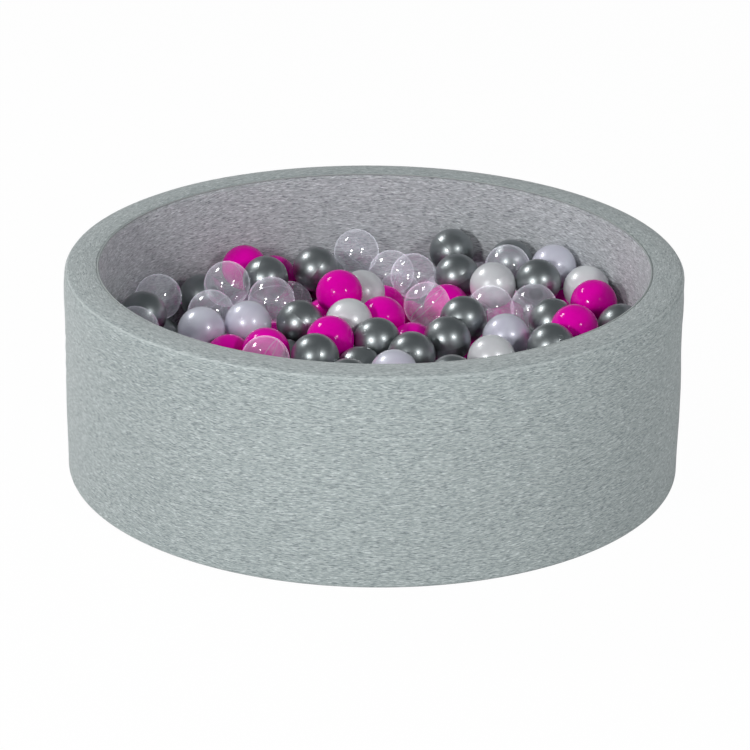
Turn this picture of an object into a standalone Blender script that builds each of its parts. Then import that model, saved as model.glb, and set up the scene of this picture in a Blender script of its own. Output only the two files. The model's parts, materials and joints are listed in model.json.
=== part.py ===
"""A round ball pit: a soft foam tub sewn in jersey, filled with hollow play balls.

Metres, +Z up. The origin is the middle of the underside, and the front faces -Y.
"""

import math

import bmesh
import bpy
from mathutils import Matrix, Vector

# The tub
PIT_DIAMETER = 0.900
PIT_HEIGHT = 0.310
WALL_THICKNESS = 0.050
PAD_THICKNESS = 0.040
JERSEY = 0.0012
UNDERSIDE_FABRIC = 0.0012
RIM_ROUND = 0.008
BASE_ROUND = 0.006
SEAM_DIAMETER = 0.0026
TOUCH_GAP = 0.0003

# The zip round the back of the wall
ZIP_HEIGHT = 0.026
ZIP_WINDOW_HEIGHT = 0.012
ZIP_WINDOW_END_GAP = 0.0006
CHAIN_WIDTH = 0.005
CHAIN_THICKNESS = 0.0024
CHAIN_RECESS = 0.0006
TAPE_WIDTH = 0.014
TAPE_THICKNESS = 0.0008
RELIEF_STEP = 0.003
STOP_LENGTH = 0.003
STOP_WIDTH = 0.0065
STOP_THICKNESS = 0.0015
STOP_SPACING = 0.002

# The slider and its pull
SLIDER_LENGTH = 0.010
SLIDER_WIDTH = 0.009
SLIDER_THICKNESS = 0.0022
SLIDER_EDGE = 0.0005
SLIDER_PARKING_GAP = 0.001
BRIDGE_WIDTH = 0.0016
BRIDGE_LENGTH = 0.0084
BRIDGE_RISE = 0.0030
BRIDGE_BAR = 0.0009
PULL_LENGTH = 0.018
PULL_WIDTH = 0.0056
PULL_THICKNESS = 0.0010
PULL_BAR = 0.0010
PULL_CLEARANCE = 0.0004

# The balls
BALL_DIAMETER = 0.070
BURIED_DEPTH = 0.1155
SLAB_DROP = 0.017
BED_CANDIDATE_SPACING = 0.024
BED_LEAST_SHOWING = 0.024
VIEW_CLEAR_SHARE = 1.4

# How finely round things are cut
RING_SIDES = 64
ROUND_STEPS = 3
SEAM_SIDES = 4
BALL_SIDES = 12
BALL_ROWS = 6
ZIP_START_SIDE_COUNT = 2
ZIP_SIDE_COUNT = 28
MERGE_DISTANCE = 0.00005
CUT_OVERRUN = 0.002

# The photograph's viewpoint, which turns a ball's place in the picture into a place in the pit
VIEW_ELEVATION_DEGREES = 21.88
VIEW_ROLL_DEGREES = -0.73
VIEW_FOCAL_PIXELS = 3163.0
VIEW_CENTRE_PIXELS = (373.6, 363.1)
VIEW_DISTANCE_SHARE = 5.171
VIEW_AIM_SHARE = 0.16671

# Finish, and the ball's middle in the picture, from the farthest ball to the nearest
BALL_PIXELS = (
    ("graphite", 451.8, 250.9), ("clear", 356.5, 251.5), ("graphite", 510.8, 262.0),
    ("lilac", 553.5, 267.0), ("clear", 507.5, 267.4), ("magenta", 244.4, 267.5),
    ("graphite", 315.6, 269.0), ("graphite", 457.0, 276.4), ("clear", 413.3, 276.0),
    ("graphite", 538.0, 282.0), ("graphite", 265.5, 278.7), ("pearl", 492.8, 285.2),
    ("clear", 227.2, 283.9), ("pearl", 586.2, 288.5), ("pearl", 362.0, 293.0),
    ("magenta", 339.4, 292.8), ("clear", 158.5, 297.0), ("magenta", 593.8, 302.8),
    ("clear", 271.3, 299.8), ("clear", 427.0, 305.0), ("clear", 534.0, 307.0),
    ("clear", 490.5, 309.0), ("graphite", 143.2, 314.7), ("graphite", 463.5, 319.6),
    ("magenta", 381.7, 319.5), ("graphite", 552.5, 321.8), ("pearl", 349.0, 322.0),
    ("graphite", 620.5, 327.3), ("graphite", 300.0, 323.6), ("magenta", 574.5, 328.0),
    ("lilac", 247.8, 324.0), ("lilac", 201.4, 330.3), ("clear", 135.5, 329.8),
    ("lilac", 506.0, 337.3), ("graphite", 447.0, 340.0), ("magenta", 330.2, 339.5),
    ("graphite", 377.0, 341.3), ("graphite", 551.5, 347.0), ("magenta", 266.0, 351.5),
    ("graphite", 411.5, 355.6), ("pearl", 491.5, 358.8), ("graphite", 315.0, 357.4),
    ("clear", 265.2, 360.0),
)

# The middle of each ball that is joined to the bed: most show only in a gap between the separate balls
TUCKED_PIXELS = (
    (211.0, 313.0), (394.0, 373.6), (391.5, 272.5), (274.0, 277.5), (404.0, 286.0), (202.0, 296.5),
    (289.5, 303.5), (382.7, 307.6), (566.0, 312.0), (186.0, 334.5), (412.0, 346.0), (229.0, 358.0),
    (452.0, 379.0),
)

# Colour, roughness, metallic, transmission
FINISHES = {
    "heather_jersey": ((0.38, 0.40, 0.39), 0.95, 0.0, 0.0),
    "inner_jersey": ((0.34, 0.34, 0.36), 0.95, 0.0, 0.0),
    "seam_thread": ((0.50, 0.51, 0.50), 0.80, 0.0, 0.0),
    "wall_foam": ((0.85, 0.83, 0.76), 0.90, 0.0, 0.0),
    "pad_foam": ((0.85, 0.83, 0.76), 0.90, 0.0, 0.0),
    "underside_weave": ((0.06, 0.06, 0.065), 0.85, 0.0, 0.0),
    "zip_tape": ((0.33, 0.34, 0.34), 0.85, 0.0, 0.0),
    "zip_chain": ((0.40, 0.41, 0.41), 0.45, 0.0, 0.0),
    "zip_metal": ((0.62, 0.62, 0.62), 0.30, 1.0, 0.0),
    "buried_balls": ((0.30, 0.29, 0.31), 0.35, 0.0, 0.0),
    "graphite": ((0.09, 0.09, 0.10), 0.30, 0.6, 0.0),
    "magenta": ((0.61, 0.00, 0.30), 0.22, 0.0, 0.0),
    "pearl": ((0.82, 0.82, 0.80), 0.25, 0.2, 0.0),
    "lilac": ((0.68, 0.60, 0.68), 0.25, 0.2, 0.0),
    "clear": ((0.90, 0.91, 0.93), 0.06, 0.0, 0.85),
}

UP = Vector((0, 0, 1))
FULL_TURN = 2 * math.pi
SIDE_ANGLE = FULL_TURN / RING_SIDES
GOLDEN_ANGLE = math.pi * (3 - math.sqrt(5))

outer_radius = PIT_DIAMETER / 2
inner_radius = outer_radius - WALL_THICKNESS
seam_radius = SEAM_DIAMETER / 2
ball_radius = BALL_DIAMETER / 2
pad_low = UNDERSIDE_FABRIC + TOUCH_GAP
pad_high = pad_low + PAD_THICKNESS
floor_low = pad_high + TOUCH_GAP
floor_high = floor_low + JERSEY
bed_low = floor_high + TOUCH_GAP
bed_high = bed_low + BURIED_DEPTH
slab_high = bed_high - SLAB_DROP
buried_level = bed_high - ball_radius
ball_level = bed_high + TOUCH_GAP + ball_radius
chain_outer = outer_radius - CHAIN_RECESS
chain_inner = chain_outer - CHAIN_THICKNESS
tape_outer = outer_radius - JERSEY - TOUCH_GAP
zip_relief_top = ZIP_HEIGHT + CHAIN_WIDTH / 2 + TAPE_WIDTH + RELIEF_STEP


def clear_scene():
    """Removes every object, so that the script starts from nothing."""
    for found in list(bpy.data.objects):
        bpy.data.objects.remove(found, do_unlink=True)


def collection(name):
    """Makes a collection in the scene."""
    made = bpy.data.collections.new(name)
    bpy.context.scene.collection.children.link(made)
    return made


def finish(name):
    """Gives the material of one finish, made the first time it is asked for."""
    if name in bpy.data.materials:
        return bpy.data.materials[name]
    colour, roughness, metallic, transmission = FINISHES[name]
    made = bpy.data.materials.new(name)
    made.use_nodes = True
    shader = made.node_tree.nodes["Principled BSDF"]
    shader.inputs["Base Color"].default_value = (*colour, 1)
    shader.inputs["Roughness"].default_value = roughness
    shader.inputs["Metallic"].default_value = metallic
    shader.inputs["Transmission Weight"].default_value = transmission
    made.diffuse_color = (*colour, 1)
    return made


def place(name, mesh, home, matrix=None):
    """Puts a mesh in a collection as an object."""
    made = bpy.data.objects.new(name, mesh)
    made.matrix_world = matrix or Matrix()
    home.objects.link(made)
    return made


def mesh_from(name, shape, look=None):
    """Turns a bmesh into a mesh with its faces pointing out."""
    bmesh.ops.recalc_face_normals(shape, faces=shape.faces[:])
    mesh = bpy.data.meshes.new(name)
    shape.to_mesh(mesh)
    shape.free()
    if look:
        mesh.materials.append(finish(look))
    return mesh


def arc(radius, height, reach, start, stop, steps=ROUND_STEPS):
    """Points of an arc about (radius, height), from one angle to another in degrees."""
    angles = [math.radians(start + (stop - start) * i / steps) for i in range(steps + 1)]
    return [(radius + reach * math.cos(a), height + reach * math.sin(a)) for a in angles]


def turned(name, outline, look, home):
    """Turns an outline of (radius, height) points, listed clockwise, once round the Z axis."""
    mesh = bpy.data.meshes.new(name)
    ends = [(i, i + 1) for i in range(len(outline) - 1)]
    if outline[0][0] > 0:
        ends.append((len(outline) - 1, 0))
    mesh.from_pydata([(radius, 0, height) for radius, height in outline], ends, [])
    mesh.materials.append(finish(look))
    made = place(name, mesh, home)
    screw = made.modifiers.new("turn", "SCREW")
    screw.axis = "Z"
    screw.angle = FULL_TURN
    screw.steps = screw.render_steps = RING_SIDES
    screw.use_merge_vertices = True
    screw.merge_threshold = MERGE_DISTANCE
    screw.use_smooth_shade = True
    return made


def disc(name, radius, low, high, look, home):
    """A round sheet or slab from one height to another."""
    return turned(name, [(0, high), (radius, high), (radius, low), (0, low)], look, home)


def bead(name, radius, height, look, home):
    """A sewn ridge that runs once round the tub."""
    outline = arc(radius, height, seam_radius, 0, -360, SEAM_SIDES)[:-1]
    return turned(name, outline, look, home)


def swept(name, inner, outer, low, high, start, stop, sides, look, home):
    """A bar of rectangular section that follows the wall from one angle to another."""
    shape = bmesh.new()
    ends = ((inner, low), (outer, low), (outer, high), (inner, high))
    turn = Matrix.Rotation(start, 4, UP)
    shape.faces.new([shape.verts.new(turn @ Vector((r, 0, z))) for r, z in ends])
    bmesh.ops.spin(
        shape,
        geom=shape.verts[:] + shape.edges[:] + shape.faces[:],
        cent=(0, 0, 0),
        axis=UP,
        angle=stop - start,
        steps=sides,
    )
    return place(name, mesh_from(name, shape, look), home)


def block(name, size, middle, look, home, matrix=None):
    """A box of a given size about its middle, in the frame of the matrix."""
    shape = bmesh.new()
    bmesh.ops.create_cube(shape, size=1)
    bmesh.ops.scale(shape, vec=size, verts=shape.verts)
    bmesh.ops.translate(shape, vec=middle, verts=shape.verts)
    return place(name, mesh_from(name, shape, look), home, matrix)


def combine(target, tool, operation):
    """Joins a tool to the target or cuts the target with it, and hides the tool."""
    tool.hide_render = True
    tool.display_type = "WIRE"
    made = target.modifiers.new(tool.name, "BOOLEAN")
    made.operation = operation
    made.object = tool
    made.use_self = True


def seam_chamfer(bead_inside, bead_outside):
    """The leg of a 45 degree chamfer on foam that clears a seam near its corner.

    bead_inside is how far the seam's middle lies behind one face, and bead_outside is how far it lies
    past the other.
    """
    return math.sqrt(2) * (seam_radius + TOUCH_GAP) + bead_inside - bead_outside


def build_foam(home):
    """The foam ring of the wall, and the foam disc that closes the bottom inside it."""
    inner = inner_radius + JERSEY + TOUCH_GAP
    outer = outer_radius - JERSEY - TOUCH_GAP
    top = PIT_HEIGHT - JERSEY - TOUCH_GAP
    relief = chain_inner - TOUCH_GAP
    round_size = RIM_ROUND - JERSEY - TOUCH_GAP
    past_face = JERSEY + TOUCH_GAP - seam_radius
    rim_leg = seam_chamfer(-past_face, past_face)
    base_seam_radius = outer_radius - BASE_ROUND - TOUCH_GAP - seam_radius
    base_leg = seam_chamfer(relief - base_seam_radius, pad_low - TOUCH_GAP - seam_radius)
    outline = [
        (inner, top - rim_leg),
        (inner + rim_leg, top),
        *arc(outer - round_size, top - round_size, round_size, 90, 0),
        (outer, zip_relief_top),
        (relief, zip_relief_top - RELIEF_STEP),
        (relief, pad_low + base_leg),
        (relief - base_leg, pad_low),
        (inner, pad_low),
    ]
    turned("wall_foam_ring", outline, "wall_foam", home)

    pad_radius = inner - TOUCH_GAP
    pad_leg = seam_chamfer(seam_radius, past_face)
    outline = [
        (0, pad_high),
        (pad_radius - pad_leg, pad_high),
        (pad_radius, pad_high - pad_leg),
        (pad_radius, pad_low),
        (0, pad_low),
    ]
    turned("base_foam_pad", outline, "pad_foam", home)


def build_covers(home):
    """The jersey panels, the underside panel and the seams between them."""
    rim_end = inner_radius + SEAM_DIAMETER + TOUCH_GAP
    rim_middle = (outer_radius - RIM_ROUND, PIT_HEIGHT - RIM_ROUND)
    base_middle = (outer_radius - BASE_ROUND, TOUCH_GAP + BASE_ROUND)
    outline = [
        (rim_end, PIT_HEIGHT),
        *arc(*rim_middle, RIM_ROUND, 90, 0),
        *arc(*base_middle, BASE_ROUND, 0, -90),
        *arc(*base_middle, BASE_ROUND - JERSEY, -90, 0),
        *arc(*rim_middle, RIM_ROUND - JERSEY, 0, 90),
        (rim_end, PIT_HEIGHT - JERSEY),
    ]
    outer_cover = turned("outer_cover", outline, "heather_jersey", home)

    inner_outline = [
        (inner_radius, PIT_HEIGHT - SEAM_DIAMETER - TOUCH_GAP),
        (inner_radius + JERSEY, PIT_HEIGHT - SEAM_DIAMETER - TOUCH_GAP),
        (inner_radius + JERSEY, floor_high + TOUCH_GAP),
        (inner_radius, floor_high + TOUCH_GAP),
    ]
    turned("inner_cover", inner_outline, "inner_jersey", home)

    floor_radius = inner_radius + JERSEY - SEAM_DIAMETER - TOUCH_GAP
    disc("floor_cover", floor_radius, floor_low, floor_high, "inner_jersey", home)
    underside_radius = outer_radius - BASE_ROUND - SEAM_DIAMETER - 2 * TOUCH_GAP
    disc("underside_panel", underside_radius, 0, UNDERSIDE_FABRIC, "underside_weave", home)

    rim_seam = (inner_radius + seam_radius, PIT_HEIGHT - seam_radius)
    floor_seam = (inner_radius + JERSEY - seam_radius, floor_high - seam_radius)
    base_seam = (underside_radius + TOUCH_GAP + seam_radius, TOUCH_GAP + seam_radius)
    bead("rim_seam", *rim_seam, "seam_thread", home)
    bead("floor_seam", *floor_seam, "seam_thread", home)
    bead("base_seam", *base_seam, "seam_thread", home)
    return outer_cover


def build_zip(outer_cover, home, cutters):
    """The zip round the back: window in the cover, tapes, closed chain, stops, slider and pull."""
    start = ZIP_START_SIDE_COUNT * SIDE_ANGLE
    stop = start + ZIP_SIDE_COUNT * SIDE_ANGLE
    window_margin = ZIP_WINDOW_END_GAP / outer_radius
    window = swept(
        "zip_window",
        outer_radius - JERSEY - CUT_OVERRUN,
        outer_radius + CUT_OVERRUN,
        ZIP_HEIGHT - ZIP_WINDOW_HEIGHT / 2,
        ZIP_HEIGHT + ZIP_WINDOW_HEIGHT / 2,
        start - window_margin,
        stop + window_margin,
        ZIP_SIDE_COUNT,
        None,
        cutters,
    )
    combine(outer_cover, window, "DIFFERENCE")

    chain_low = ZIP_HEIGHT - CHAIN_WIDTH / 2
    chain_high = ZIP_HEIGHT + CHAIN_WIDTH / 2
    bands = (
        ("zip_chain", chain_inner, chain_outer, chain_low, chain_high, "zip_chain"),
        ("zip_tape_upper", tape_outer - TAPE_THICKNESS, tape_outer,
         chain_high + TOUCH_GAP, chain_high + TAPE_WIDTH, "zip_tape"),
        ("zip_tape_lower", tape_outer - TAPE_THICKNESS, tape_outer,
         chain_low - TAPE_WIDTH, chain_low - TOUCH_GAP, "zip_tape"),
    )
    for name, inner, outer, low, high, look in bands:
        swept(name, inner, outer, low, high, start, stop, ZIP_SIDE_COUNT, look, home)

    stop_angle = (STOP_SPACING + STOP_LENGTH / 2) / chain_outer
    stop_size = (STOP_THICKNESS, STOP_LENGTH, STOP_WIDTH)
    stop_middle = (chain_outer + TOUCH_GAP + STOP_THICKNESS / 2, 0, ZIP_HEIGHT)
    stops = {"zip_stop_open_end": start + stop_angle, "zip_stop_closed_end": stop - stop_angle}
    for name, angle in stops.items():
        block(name, stop_size, stop_middle, "zip_metal", home, Matrix.Rotation(angle, 4, UP))
    parked = stop - (
        STOP_SPACING + STOP_LENGTH + SLIDER_PARKING_GAP + SLIDER_LENGTH / 2
    ) / chain_outer
    build_slider(Matrix.Rotation(parked, 4, UP), home, cutters)


def build_slider(turn, home, cutters):
    """The slider in front of the chain, with a bridge that the pull hangs on.

    The slider turns about the tub's own axis, so its origin lies on that axis. In its frame X points out of
    the wall and Y along it.
    """
    face = chain_outer + TOUCH_GAP
    back = face + SLIDER_THICKNESS
    crown = back + BRIDGE_RISE
    frame = turn @ Matrix.Translation((0, 0, ZIP_HEIGHT))
    body_size = (SLIDER_THICKNESS, SLIDER_LENGTH, SLIDER_WIDTH)
    slider = block("zip_slider", body_size, ((face + back) / 2, 0, 0), "zip_metal", home, frame)
    bevel = slider.modifiers.new("edges", "BEVEL")
    bevel.width = SLIDER_EDGE
    bevel.segments = 1
    bridge_low = (face + back) / 2
    bridge_size = (crown - bridge_low, BRIDGE_WIDTH, BRIDGE_LENGTH)
    bridge = block("zip_bridge", bridge_size, ((crown + bridge_low) / 2, 0, 0), None, cutters, frame)
    combine(slider, bridge, "UNION")
    window_depth = BRIDGE_RISE - BRIDGE_BAR
    window_middle = back + window_depth / 2
    window_size = (window_depth, BRIDGE_WIDTH + CUT_OVERRUN, BRIDGE_LENGTH - 2 * BRIDGE_BAR)
    window = block("zip_bridge_window", window_size, (window_middle, 0, 0), None, cutters, frame)
    combine(slider, window, "DIFFERENCE")

    hinge = frame @ Matrix.Translation((window_middle, 0, 0))
    build_pull(hinge, home, cutters)


def build_pull(hinge, home, cutters):
    """The pull: a tab with an eye round the bridge, hung on its hinge line."""
    top = PULL_BAR / 2
    size = (PULL_THICKNESS, PULL_WIDTH, PULL_LENGTH)
    pull = block("zip_pull", size, (0, 0, top - PULL_LENGTH / 2), "zip_metal", home, hinge)
    eye_width = BRIDGE_WIDTH + 2 * PULL_CLEARANCE
    eye_low = -(BRIDGE_LENGTH / 2 + 2 * PULL_CLEARANCE)
    eye_size = (PULL_THICKNESS + CUT_OVERRUN, eye_width, -top - eye_low)
    eye = block("zip_pull_eye", eye_size, (0, 0, (eye_low - top) / 2), None, cutters, hinge)
    combine(pull, eye, "DIFFERENCE")


def ball_shape(matrix=None, shape=None):
    """A ball of the play set as a bmesh."""
    shape = shape or bmesh.new()
    made = bmesh.ops.create_uvsphere(
        shape,
        u_segments=BALL_SIDES,
        v_segments=BALL_ROWS,
        radius=ball_radius,
        matrix=matrix or Matrix(),
    )
    return shape, made["verts"]


def ball_planes():
    """The ball's faces, each as its normal over its distance from the middle.

    All balls have one shape and stand alike, and the shape is the same from opposite sides. So the middles of
    two balls that just touch lie where the largest product of their offset with a plane is 2.
    """
    shape, _ = ball_shape()
    shape.normal_update()
    planes = [face.normal / face.normal.dot(face.calc_center_median()) for face in shape.faces]
    shape.free()
    return planes


def touching():
    """The product at which two balls lie one touch gap apart."""
    return 2 + 2 * TOUCH_GAP / BALL_DIAMETER


def blocked_span(start, way, other, planes):
    """The stretch of a line on which a ball would overlap another ball, or None."""
    low, high = -math.inf, math.inf
    for plane in planes:
        here = plane.dot(start - other)
        gain = plane.dot(way)
        if gain > 0:
            high = min(high, (touching() - here) / gain)
        elif gain < 0:
            low = max(low, (touching() - here) / gain)
    return (low, high) if low < high else None


def rest_height(plan, other, planes):
    """How high a ball comes down on another ball, or None where it passes beside it."""
    flat = Vector((plan.x - other.x, plan.y - other.y, 0))
    if max(plane.dot(flat) for plane in planes) >= touching():
        return None
    rise = min((touching() - plane.dot(flat)) / plane.z for plane in planes if plane.z > 0)
    return other.z + rise


def sight_line(column, row):
    """The viewpoint, and the direction in which it sees a place in the picture."""
    tilt = math.radians(VIEW_ELEVATION_DEGREES)
    roll = math.radians(VIEW_ROLL_DEGREES)
    right = Vector((1, 0, 0))
    ahead = Vector((0, math.cos(tilt), -math.sin(tilt)))
    above = right.cross(ahead)
    aim = UP * PIT_DIAMETER * VIEW_AIM_SHARE
    eye = aim - ahead * PIT_DIAMETER * VIEW_DISTANCE_SHARE
    across = column - VIEW_CENTRE_PIXELS[0]
    up = VIEW_CENTRE_PIXELS[1] - row
    across, up = (
        across * math.cos(roll) + up * math.sin(roll),
        up * math.cos(roll) - across * math.sin(roll),
    )
    return eye, (ahead * VIEW_FOCAL_PIXELS + right * across + above * up).normalized()


def ball_reach():
    """The largest distance from the axis at which a ball clears the inner cover."""
    return inner_radius * math.cos(SIDE_ANGLE / 2) - ball_radius - TOUCH_GAP


def entry_into_pit(start, way):
    """How far along a line the ball is inside the wall, or None if the line passes it by."""
    reach = ball_reach()
    square = way.x**2 + way.y**2
    half = start.x * way.x + start.y * way.y
    rest = start.x**2 + start.y**2 - reach**2
    if rest <= 0:
        return 0
    root = half**2 - square * rest
    return (-half - math.sqrt(root)) / square if root > 0 and half < 0 else None


def clear_along(start, way, along, others, planes):
    """How far along a line, from a given distance on, a ball first clears the others."""
    spans = [blocked_span(start, way, other, planes) for other in others]
    for low, high in sorted(span for span in spans if span):
        if low < along < high:
            along = high
    return along


def ball_place(column, row, placed, planes):
    """Where a ball of the picture lies among the balls placed before it.

    It starts where its sight line meets the top of the buried balls, and comes towards the viewer until it
    clears the wall and the others. Where that line leaves the pit, it is dropped in from above instead.
    """
    eye, sight = sight_line(column, row)
    start = eye + sight * ((ball_level - eye.z) / sight.z)
    way = -sight
    along = entry_into_pit(start, way)
    if along is not None:
        found = start + way * clear_along(start, way, along, placed, planes)
        if found.xy.length <= ball_reach() + MERGE_DISTANCE and found.z < PIT_HEIGHT:
            return found
    flat = start.xy
    if flat.length > ball_reach():
        flat = flat.normalized() * ball_reach()
    found = Vector((*flat, ball_level))
    heights = [rest_height(found, other, planes) for other in placed]
    found.z = max([ball_level] + [height for height in heights if height is not None])
    return found


def build_balls(home):
    """The balls that can be told apart, each an object with its origin at its middle."""
    planes = ball_planes()
    meshes = {}
    placed = []
    counts = {}
    for look, column, row in BALL_PIXELS:
        if look not in meshes:
            shape, _ = ball_shape()
            meshes[look] = mesh_from("ball_" + look, shape, look)
            meshes[look].shade_smooth()
        middle = ball_place(column, row, placed, planes)
        placed.append(middle)
        counts[look] = counts.get(look, 0) + 1
        place(f"ball_{look}_{counts[look]:02d}", meshes[look], home, Matrix.Translation(middle))
    return placed, planes


def tucked_places(placed, planes):
    """Where the balls lie that show only in gaps: each on its sight line, just behind the ones before it."""
    tucked = []
    for column, row in TUCKED_PIXELS:
        eye, sight = sight_line(column, row)
        start = eye + sight * ((ball_level - eye.z) / sight.z)
        along = clear_along(start, sight, 0, placed + tucked, planes)
        tucked.append(start + sight * along)
    return tucked


def under_others(middle, placed, planes):
    """Lowers a ball until it lies under each separate ball whose column it stands in."""
    for other in placed:
        height = rest_height(middle, other, planes)
        if height is not None:
            middle.z = min(middle.z, 2 * other.z - height)
    return middle


def out_of_view(middle, seen):
    """Lowers a ball until it hides little of each ball behind it that the picture shows.

    Its middle then lies more than a radius below the sight line of that ball's middle. The square of its
    distance from the line is a quadratic in its height, and the lower root is the height it comes down to.
    """
    eye, _ = sight_line(*VIEW_CENTRE_PIXELS)
    for other in seen:
        sight = (other - eye).normalized()
        offset = middle - eye
        if offset.length >= (other - eye).length:
            continue
        flat = offset.x * sight.x + offset.y * sight.y
        square = 1 - sight.z**2
        rest = offset.x**2 + offset.y**2 - flat**2 - (VIEW_CLEAR_SHARE * ball_radius) ** 2
        root = (flat * sight.z) ** 2 - square * rest
        if root > 0:
            low = (flat * sight.z - math.sqrt(root)) / square
            high = (flat * sight.z + math.sqrt(root)) / square
            if low < offset.z < high:
                middle.z = eye.z + low
    return middle


def spiral_places(level):
    """Middles at one height, spread evenly over the pit on a spiral."""
    step = BED_CANDIDATE_SPACING / math.sqrt(math.pi)
    found = []
    while step * math.sqrt(len(found) + 1 / 2) <= ball_reach():
        radius = step * math.sqrt(len(found) + 1 / 2)
        angle = len(found) * GOLDEN_ANGLE
        found.append(Vector((radius * math.cos(angle), radius * math.sin(angle), level)))
    return found


def bed_places(placed, planes):
    """Where the balls of the bed that show lie: middles, each as high as the separate balls let it come.

    The tucked balls come first. The other candidates lie on a spiral that spreads them evenly, and the ones
    that may come highest are taken first. Each is kept where its column stands clear of those kept before.
    """
    tucked = [under_others(middle, placed, planes) for middle in tucked_places(placed, planes)]
    seen = sorted(placed + tucked, key=lambda found: found.y, reverse=True)
    spiral = [
        out_of_view(under_others(middle, placed, planes), seen) for middle in spiral_places(ball_level)
    ]
    spiral.sort(key=lambda found: -round(found.z / TOUCH_GAP))
    kept = []
    for middle in tucked + spiral:
        shows = middle.z + ball_radius >= bed_high + BED_LEAST_SHOWING
        inside = middle.xy.length <= ball_reach() + MERGE_DISTANCE
        if shows and inside and all(rest_height(middle, other, planes) is None for other in kept):
            kept.append(middle)
    return kept


def buried_places(placed, shown, planes):
    """Where the top layer of the buried balls lies, whose tops are level.

    One lies under each separate ball that comes down to them, and the others lie between those on the spiral.
    """
    level = [Vector((*other.xy, buried_level)) for other in placed if other.z < ball_level + TOUCH_GAP]
    for middle in spiral_places(buried_level):
        covered = any((middle.xy - other.xy).length < ball_radius for other in shown)
        if not covered and all(rest_height(middle, other, planes) is None for other in level):
            level.append(middle)
    return level


def build_bed(placed, planes, home, cutters):
    """The buried balls as one body: a slab with the upper halves of the balls that show on it."""
    bed = disc("ball_bed", inner_radius - TOUCH_GAP, bed_low, slab_high, "buried_balls", home)
    domes = bmesh.new()
    root = (bed_low + slab_high) / 2
    shown = bed_places(placed, planes)
    for middle in shown + buried_places(placed, shown, planes):
        _, points = ball_shape(Matrix.Translation(middle), domes)
        for point in points:
            if point.co.z < middle.z - MERGE_DISTANCE:
                point.co.z = root
    tool = place("ball_domes", mesh_from("ball_domes", domes), cutters)
    combine(bed, tool, "UNION")


def main():
    clear_scene()
    home = collection("Ball pit")
    cutters = collection("Cutters")
    build_foam(home)
    outer_cover = build_covers(home)
    build_zip(outer_cover, home, cutters)
    placed, planes = build_balls(home)
    build_bed(placed, planes, home, cutters)


main()
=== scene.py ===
"""The looks of a round ball pit: a foam tub sewn in heather jersey, filled with hollow play balls.

Metres, +Z up. The origin is the middle of the underside, and the front faces -Y.
"""

from __future__ import annotations

import json
import logging
import math
from dataclasses import dataclass, field, replace
from enum import Enum

import bpy
import numpy as np
from mathutils import Matrix, Vector

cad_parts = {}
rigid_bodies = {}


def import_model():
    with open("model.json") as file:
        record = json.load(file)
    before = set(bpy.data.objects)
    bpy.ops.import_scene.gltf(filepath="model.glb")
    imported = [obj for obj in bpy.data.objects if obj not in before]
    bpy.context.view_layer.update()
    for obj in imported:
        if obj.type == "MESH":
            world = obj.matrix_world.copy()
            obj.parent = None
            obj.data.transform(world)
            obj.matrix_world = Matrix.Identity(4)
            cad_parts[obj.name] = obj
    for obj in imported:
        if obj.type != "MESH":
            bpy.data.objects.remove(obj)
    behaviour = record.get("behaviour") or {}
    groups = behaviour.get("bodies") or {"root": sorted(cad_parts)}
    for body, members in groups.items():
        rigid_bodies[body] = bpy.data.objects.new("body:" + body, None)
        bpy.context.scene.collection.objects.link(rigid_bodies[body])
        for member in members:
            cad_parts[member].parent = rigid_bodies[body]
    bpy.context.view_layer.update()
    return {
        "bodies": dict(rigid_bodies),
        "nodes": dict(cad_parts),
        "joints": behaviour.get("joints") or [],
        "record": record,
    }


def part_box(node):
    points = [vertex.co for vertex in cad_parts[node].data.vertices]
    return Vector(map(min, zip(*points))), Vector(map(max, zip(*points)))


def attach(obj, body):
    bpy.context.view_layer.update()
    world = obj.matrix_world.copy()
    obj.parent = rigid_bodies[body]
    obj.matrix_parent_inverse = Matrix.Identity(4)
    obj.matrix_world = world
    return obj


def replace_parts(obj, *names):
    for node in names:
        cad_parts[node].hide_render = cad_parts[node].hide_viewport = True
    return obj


Array = np.ndarray
Pair = tuple[float, float]
Triple = tuple[float, float, float]
log = logging.getLogger("ball_pit")

FULL_TURN = 2 * math.pi
GOLDEN_ANGLE = math.pi * (3 - math.sqrt(5))
MM = 0.001
# Points that lie closer together than this are one point
SAME_PLACE = 1e-6
# How far a point of the frame may lie off a level or a wall and still belong to it
ON_LEVEL = 0.1 * MM

WHITE = (1.0, 1.0, 1.0, 1.0)
# The outputs of an effect that colours, raises and dulls a surface
RELIEF_OUTPUTS = {"Color": "Color", "Height": "Float", "Roughness": "Float"}


class BallFinish(Enum):
    """The finishes that the play balls come in."""

    GRAPHITE = "graphite"
    MAGENTA = "magenta"
    PEARL = "pearl"
    LILAC = "lilac"
    CLEAR = "clear"


# The share of each finish among the balls that can't be told apart
FINISH_SHARES = {
    BallFinish.GRAPHITE: 0.40,
    BallFinish.MAGENTA: 0.26,
    BallFinish.PEARL: 0.08,
    BallFinish.LILAC: 0.08,
    BallFinish.CLEAR: 0.18,
}

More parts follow.
